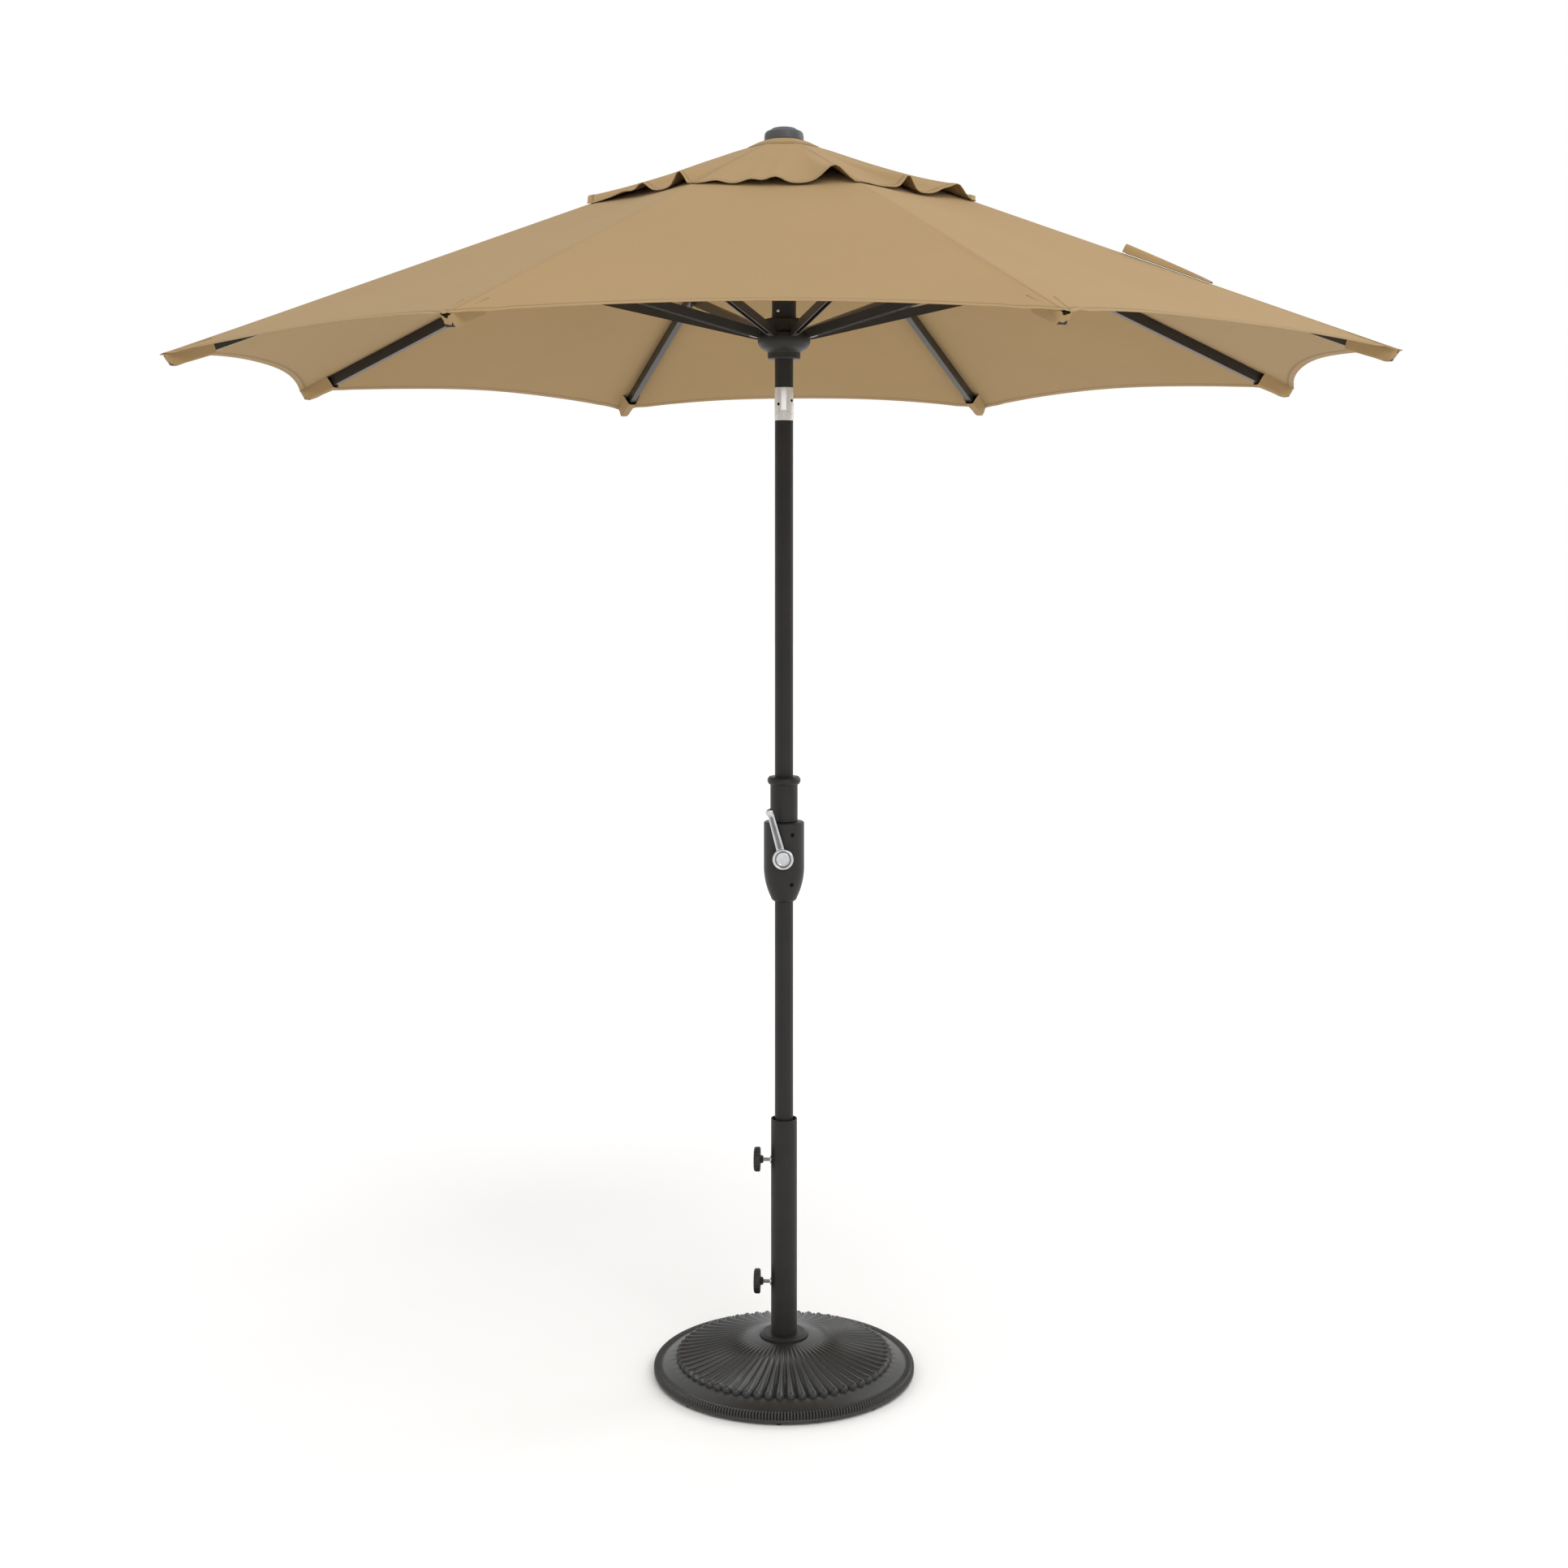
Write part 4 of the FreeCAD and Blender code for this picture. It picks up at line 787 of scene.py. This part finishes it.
def base_plate():
    """The cast cover of the base and its rim."""
    # the reeded cone and the smooth band round it
    cone = rounded([(0.0505, 0.0760, 0), (0.060, 0.0755, 0.006), (0.100, 0.0675, 0.03), (0.160, 0.0530, 0.03),
                    (0.208, 0.0452, 0.02), (0.2165, 0.0452, 0.003), (0.2215, 0.0430, 0)], 5)
    edge_rows = [(0.2235, 0.0400), (0.2240, 0.0365), (0.2243, 0.0335), (0.2300, 0.0318), (0.2400, 0.0280),
                 (0.2480, 0.0242), (0.2520, 0.0222)]
    profile = cone + edge_rows
    inner = len(cone)

    def ripple(k, a, r, z):
        share = smooth((r - 0.062) / 0.07) * (1 if k < inner else 0)
        amp = 0.0086 * share * min(1.0, r / 0.20)
        z2 = z - amp * (1 - reed(a, r))
        if k < inner:
            pull = 0.0065 * (1 - reed(a, r)) * smooth((r - 0.19) / 0.03)
            return r - pull, z2
        if k < inner + 3:
            return r - 0.0065 * (1 - reed(a, r)), min(z, 0.0415 - 0.0086 * (1 - reed(a, r)))
        return r, z

    top = lathe(profile, REEDS * 14, ripple)
    # the knurled, rolled rim
    rim = [(0.2520, 0.0222), (0.2530, 0.0228), (0.2548, 0.0238), (0.2575, 0.0247), (0.2605, 0.0250),
           (0.2635, 0.0247), (0.2660, 0.0236), (0.2680, 0.0218), (0.2692, 0.0196), (0.2697, 0.0170),
           (0.2697, 0.0140), (0.2692, 0.0112), (0.2690, 0.0104), (0.2696, 0.0098), (0.2697, 0.0080),
           (0.2690, 0.0058), (0.2675, 0.0044), (0.2650, 0.0040), (0.2560, 0.0040), (0.2550, 0.0060),
           (0.2480, 0.0100), (0.2200, 0.0190), (0.0600, 0.0590), (0.0500, 0.0620), (0.0500, 0.0755)]

    def knurl(k, a, r, z):
        dip = 1 - abs(math.cos(KNURLS * a / 2)) ** 0.8
        if 1 <= k <= 11:
            return r - 0.0032 * dip, z - (0.0030 * dip if k <= 7 else 0.0)
        return r, z

    edge_part = lathe(rim, KNURLS * 6, knurl)
    add("cast_base", top, "cast_base", "stand", angle=50)
    add("cast_base_rim", edge_part, "cast_base", "stand", angle=50, stands_for=("base_plate",))


base_plate()


# ---------------------------------------------------------------- clamp knobs
def knob(name, height, body, stands, screw_node):
    """A ribbed clamp knob to the left of the tube, with its threaded rod."""
    outer, inner, neck = 0.063, 0.049, 0.043
    face = rounded([(0, outer - 0.0018, 0), (0.010, outer - 0.0012, 0.004), (0.019, outer, 0.003),
                    (0.0248, outer - 0.002, 0.003), (0.0250, inner + 0.002, 0.002), (0.0232, inner, 0.002),
                    (0.0100, inner - 0.0003, 0.001), (0.0078, neck + 0.003, 0.001), (0.0078, neck, 0.001),
                    (0.0, neck, 0)], 5)

    def grips(k, a, r, z):
        if r > 0.0225 and inner < z < outer:
            return r - 0.0007 * (0.5 - 0.5 * math.cos(24 * a)), z
        if z < inner - 0.0012 and r > 0.004:
            return r - 0.0011 * (0.5 - 0.5 * math.cos(10 * a)), z
        return r, z

    turn = Matrix.Translation((0, 0, height)) @ Matrix.Rotation(math.radians(-90), 4, "Y")
    v, f = lathe(face, 240, grips)
    add(name, merge((v, f, turn)), "black_plastic", body, angle=50, stands_for=(stands,))
    thread = [(0.0, 0.050)]
    pitch = 0.0015
    z = 0.050
    while z > 0.0205:
        thread += [(0.0040, z), (0.00345, z - pitch / 2)]
        z -= pitch
    thread += [(0.0030, 0.0196), (0.0, 0.0194)]
    v, f = lathe(thread, 48)
    add(name + "_thread", merge((v, f, turn)), "zinc_steel", body, angle=25, stands_for=(screw_node,))


knob("clamp_knob_high", HIGH_KNOB, "upper_knob", "knob_upper", "knob_upper_screw")
knob("clamp_knob_low", LOW_KNOB, "lower_knob", "knob_lower", "knob_lower_screw")


# ---------------------------------------------------------------- crank arm
def crank():
    """The crank: a stepped hub, a tapered arm with a channel in its face, and grey strips of painted shade in
    the channel and the hub's groove.
    """
    turn = Matrix.Translation((0, 0, CRANK_HEIGHT)) @ Matrix.Rotation(math.radians(90), 4, "X")
    hub = rounded([(0, 0.0525, 0), (0.0110, 0.0525, 0.001), (0.0125, 0.0532, 0.0008),
                   (0.0140, 0.0525, 0.0008), (0.0165, 0.0526, 0.001), (0.0180, 0.0540, 0.0012),
                   (0.0204, 0.0538, 0.0015), (0.0215, 0.0520, 0.0015), (0.0215, 0.0470, 0.001),
                   (0.0200, 0.0452, 0.001), (0.0, 0.0450, 0)], 5)
    # the arm: (distance from the hub, half width) outline, a channel sunk in its face between two rails
    rows = []
    length, nose, wide_end, slim_end = 0.102, 0.008, 0.0085, 0.0060
    for k in range(33):
        d = -0.002 + (length + nose) * k / 32
        half = wide_end + (slim_end - wide_end) * min(1, max(0, d / length))
        if d > length:
            half = math.sqrt(max(0.0, slim_end ** 2 - ((d - length) / nose * slim_end) ** 2))
        rows.append((d, half))
    verts, faces = [], []
    front, back, sink = 0.0528, 0.0458, 0.0017
    half_across = [(1.0, back), (1.0, front - 0.0010), (0.93, front - 0.0003), (0.82, front), (0.62, front),
                   (0.55, front - sink)]
    across = [(-share, y) for share, y in half_across] + half_across[::-1]
    for d, half in rows:
        channel = smooth((d - 0.018) / 0.004) * (1 - smooth((d - 0.093) / 0.004))
        for share, y in across:
            if abs(share) <= 0.56:
                y = front - sink * channel
            verts.append((half * share, d, y))
    n = len(across)
    for r in range(len(rows) - 1):
        for c in range(n):
            m = (c + 1) % n
            faces.append((r * n + c, r * n + m, (r + 1) * n + m, (r + 1) * n + c))
    faces.append(tuple(range(n)))
    faces.append(tuple((len(rows) - 1) * n + c for c in reversed(range(n))))
    lean = Matrix.Rotation(CRANK_LEAN, 4, "Z")
    add("crank_lever", merge((*lathe(hub, 128), turn), (verts, faces, turn @ lean)), "chrome_crank", "crank",
        angle=30, stands_for=("crank_arm",))
    # painted shade: a grey strip along the bottom of the channel and a grey ring in the hub's groove stand in
    # for the shade of these recesses
    floor_y = front - sink + 0.0003
    outline = []
    for radius, centre, start in ((0.0036, 0.0255, 180), (0.0029, 0.0885, 0)):
        for a in range(start, start + 181, 15):
            outline.append((radius * math.cos(math.radians(a)), centre + radius * math.sin(math.radians(a))))
    n = len(outline)
    strip = [(x, d, y) for y in (floor_y - 0.0008, floor_y) for x, d in outline]
    sides = [(k, (k + 1) % n, n + (k + 1) % n, n + k) for k in range(n)]
    sides += [tuple(reversed(range(n))), tuple(range(n, 2 * n))]
    groove = [(0.0139, 0.0515), (0.0139, 0.0531), (0.0166, 0.0531), (0.0166, 0.0515), (0.0139, 0.0515)]
    both = merge((strip, sides, turn @ lean), (*lathe(groove, 96), turn))
    shade_strips = add("crank_painted_recess_shade", both, "chrome_crank", "crank")
    # painted shade: the strips get the darker grey metal in place of the chrome
    shade_strips.data.materials[0] = RECESS_SHADE_GREY


def screw_hole_shades():
    """The two recessed screws of the housing, to the right of the crank: dark discs flush with the surface
    that paint the shaded holes together with the dark screws in them.
    """
    for name, z, r, down in (("high", HIGH_WELL, 0.042, 0), ("low", LOW_WELL, 0.0382, 13.2)):
        a = math.radians(-90 + 27)
        out = Vector((math.cos(a), math.sin(a), -math.tan(math.radians(down)))).normalized()
        place = facing((r * math.cos(a), r * math.sin(a), z), out)
        disc = rounded([(0, 0.0003, 0), (0.0042, 0.0003, 0.0002), (0.0046, -0.0012, 0), (0, -0.0012, 0)], 3)
        # painted shade: each disc sits at the housing's surface and its dark colour stands for the shaded
        # hole
        add("screw_hole_shade_" + name, merge((*lathe(disc, 32), place)), "dark_screw", "mast")


crank()
screw_hole_shades()


# ---------------------------------------------------------------- runner
def runner():
    """The bowl of the runner and the rivets of its sleeve."""
    shape = rounded([(0.0206, 2.101, 0), (0.0325, 2.101, 0.002), (0.0340, 2.103, 0.002),
                     (0.0340, 2.1155, 0.002), (0.0385, 2.1185, 0.004), (0.0480, 2.1235, 0.006),
                     (0.0545, 2.1330, 0.008), (0.0550, 2.1450, 0.006), (0.0525, 2.1530, 0.004),
                     (0.0480, 2.1555, 0.003), (0.0425, 2.1565, 0.003), (0.0410, 2.1620, 0.003),
                     (0.0410, 2.1825, 0.003), (0.0385, 2.1850, 0.002), (0.0206, 2.1850, 0)], 6)
    v, f = lathe(shape + [shape[0]], 128)
    add("runner_bowl", (v, f), "fitting_paint", "runner_body", angle=45, stands_for=("runner",))
    head = rounded([(0, 0.0018, 0), (0.0022, 0.0015, 0.001), (0.0034, 0.0004, 0.0004),
                    (0.0034, -0.001, 0)], 4)
    for k, (azimuth, z, r) in enumerate(((-117, 2.200, 0.025), (180, 2.190, 0.025), (0, 2.190, 0.025))):
        a = math.radians(azimuth)
        v, f = lathe(head, 24)
        m = facing((r * math.cos(a), r * math.sin(a), z), Vector((math.cos(a), math.sin(a), 0)))
        add("sleeve_rivet_%d" % (k + 1), merge((v, f, m)), "bare_aluminium", "runner_body")


runner()


# ---------------------------------------------------------------- tilt joint: a knuckle turns in a cradle
PIVOT, CRADLE, SPINDLE = 2.009, 0.0242, 0.0195


def saddle(y, radius):
    """Height of the round seat between the two parts, at y from its middle."""
    return PIVOT - math.sqrt(radius ** 2 - y ** 2)


def tilt_joint():
    """Two short cylinders with round ends that meet at the seat, and the knuckle's two screws."""
    steps = 128
    parts = {}
    for name, radius, far in (("tilt_cradle", CRADLE, 1.974), ("tilt_knuckle", CRADLE - 0.0004, 2.043)):
        radii = [SPINDLE * f for f in (1.0, 0.98, 0.9, 0.75, 0.55, 0.3)]
        verts, faces, rings = [], [], []

        def ring(r, level):
            at = []
            for n in range(steps):
                a = 2 * math.pi * n / steps
                x, y = r * math.cos(a), r * math.sin(a)
                at.append(len(verts))
                verts.append((x, y, saddle(y, radius) if level is None else level))
            rings.append(at)

        toward = 1 if far > PIVOT else -1
        for r in reversed(radii):
            ring(r, None)
        ring(SPINDLE, far - toward * 0.0008)
        ring(SPINDLE - 0.0007, far)
        ring(0.004, far)
        for a, b in zip(rings, rings[1:]):
            for n in range(steps):
                m = (n + 1) % steps
                faces.append((a[n], a[m], b[m], b[n]))
        faces.append(tuple(rings[0]))
        faces.append(tuple(reversed(rings[-1])))
        parts[name] = (verts, faces)
    for name, body, node in (("tilt_cradle", "mast", "tilt_socket"),
                             ("tilt_knuckle", "upper_mast", "tilt_tongue")):
        add(name, parts[name], "bare_aluminium", body, angle=40, stands_for=(node,))
    screw = rounded([(0, 0.0004, 0), (0.0012, 0.0004, 0), (0.0012, 0.0011, 0), (0.0026, 0.0009, 0.0004),
                     (0.0032, -0.0002, 0.0004), (0.0032, -0.0012, 0)], 4)
    for k, (turn, z) in enumerate(((-34, 2.0075), (58, 2.015))):
        a = math.radians(-90 + turn)
        out = Vector((math.cos(a), math.sin(a), 0))
        m = facing(out * SPINDLE + Vector((0, 0, z)), out)
        v, f = lathe(screw, 32)
        add("tilt_screw_%d" % (k + 1), merge((v, f, m)), "dark_screw", "upper_mast", angle=30)


tilt_joint()

# ---------------------------------------------------------------- soft edges of the CAD nodes
for i in range(1, RIBS + 1):
    edge("rib_%d" % i, 0.0010)
    edge("strut_%d" % i, 0.0008)
for n in ("housing_front", "housing_rear", "tilt_collar", "top_hub", "base_tube", "crank_knob",
          "runner_sleeve", "lower_pole", "mid_pole", "upper_pole"):
    edge(n, 0.0005)
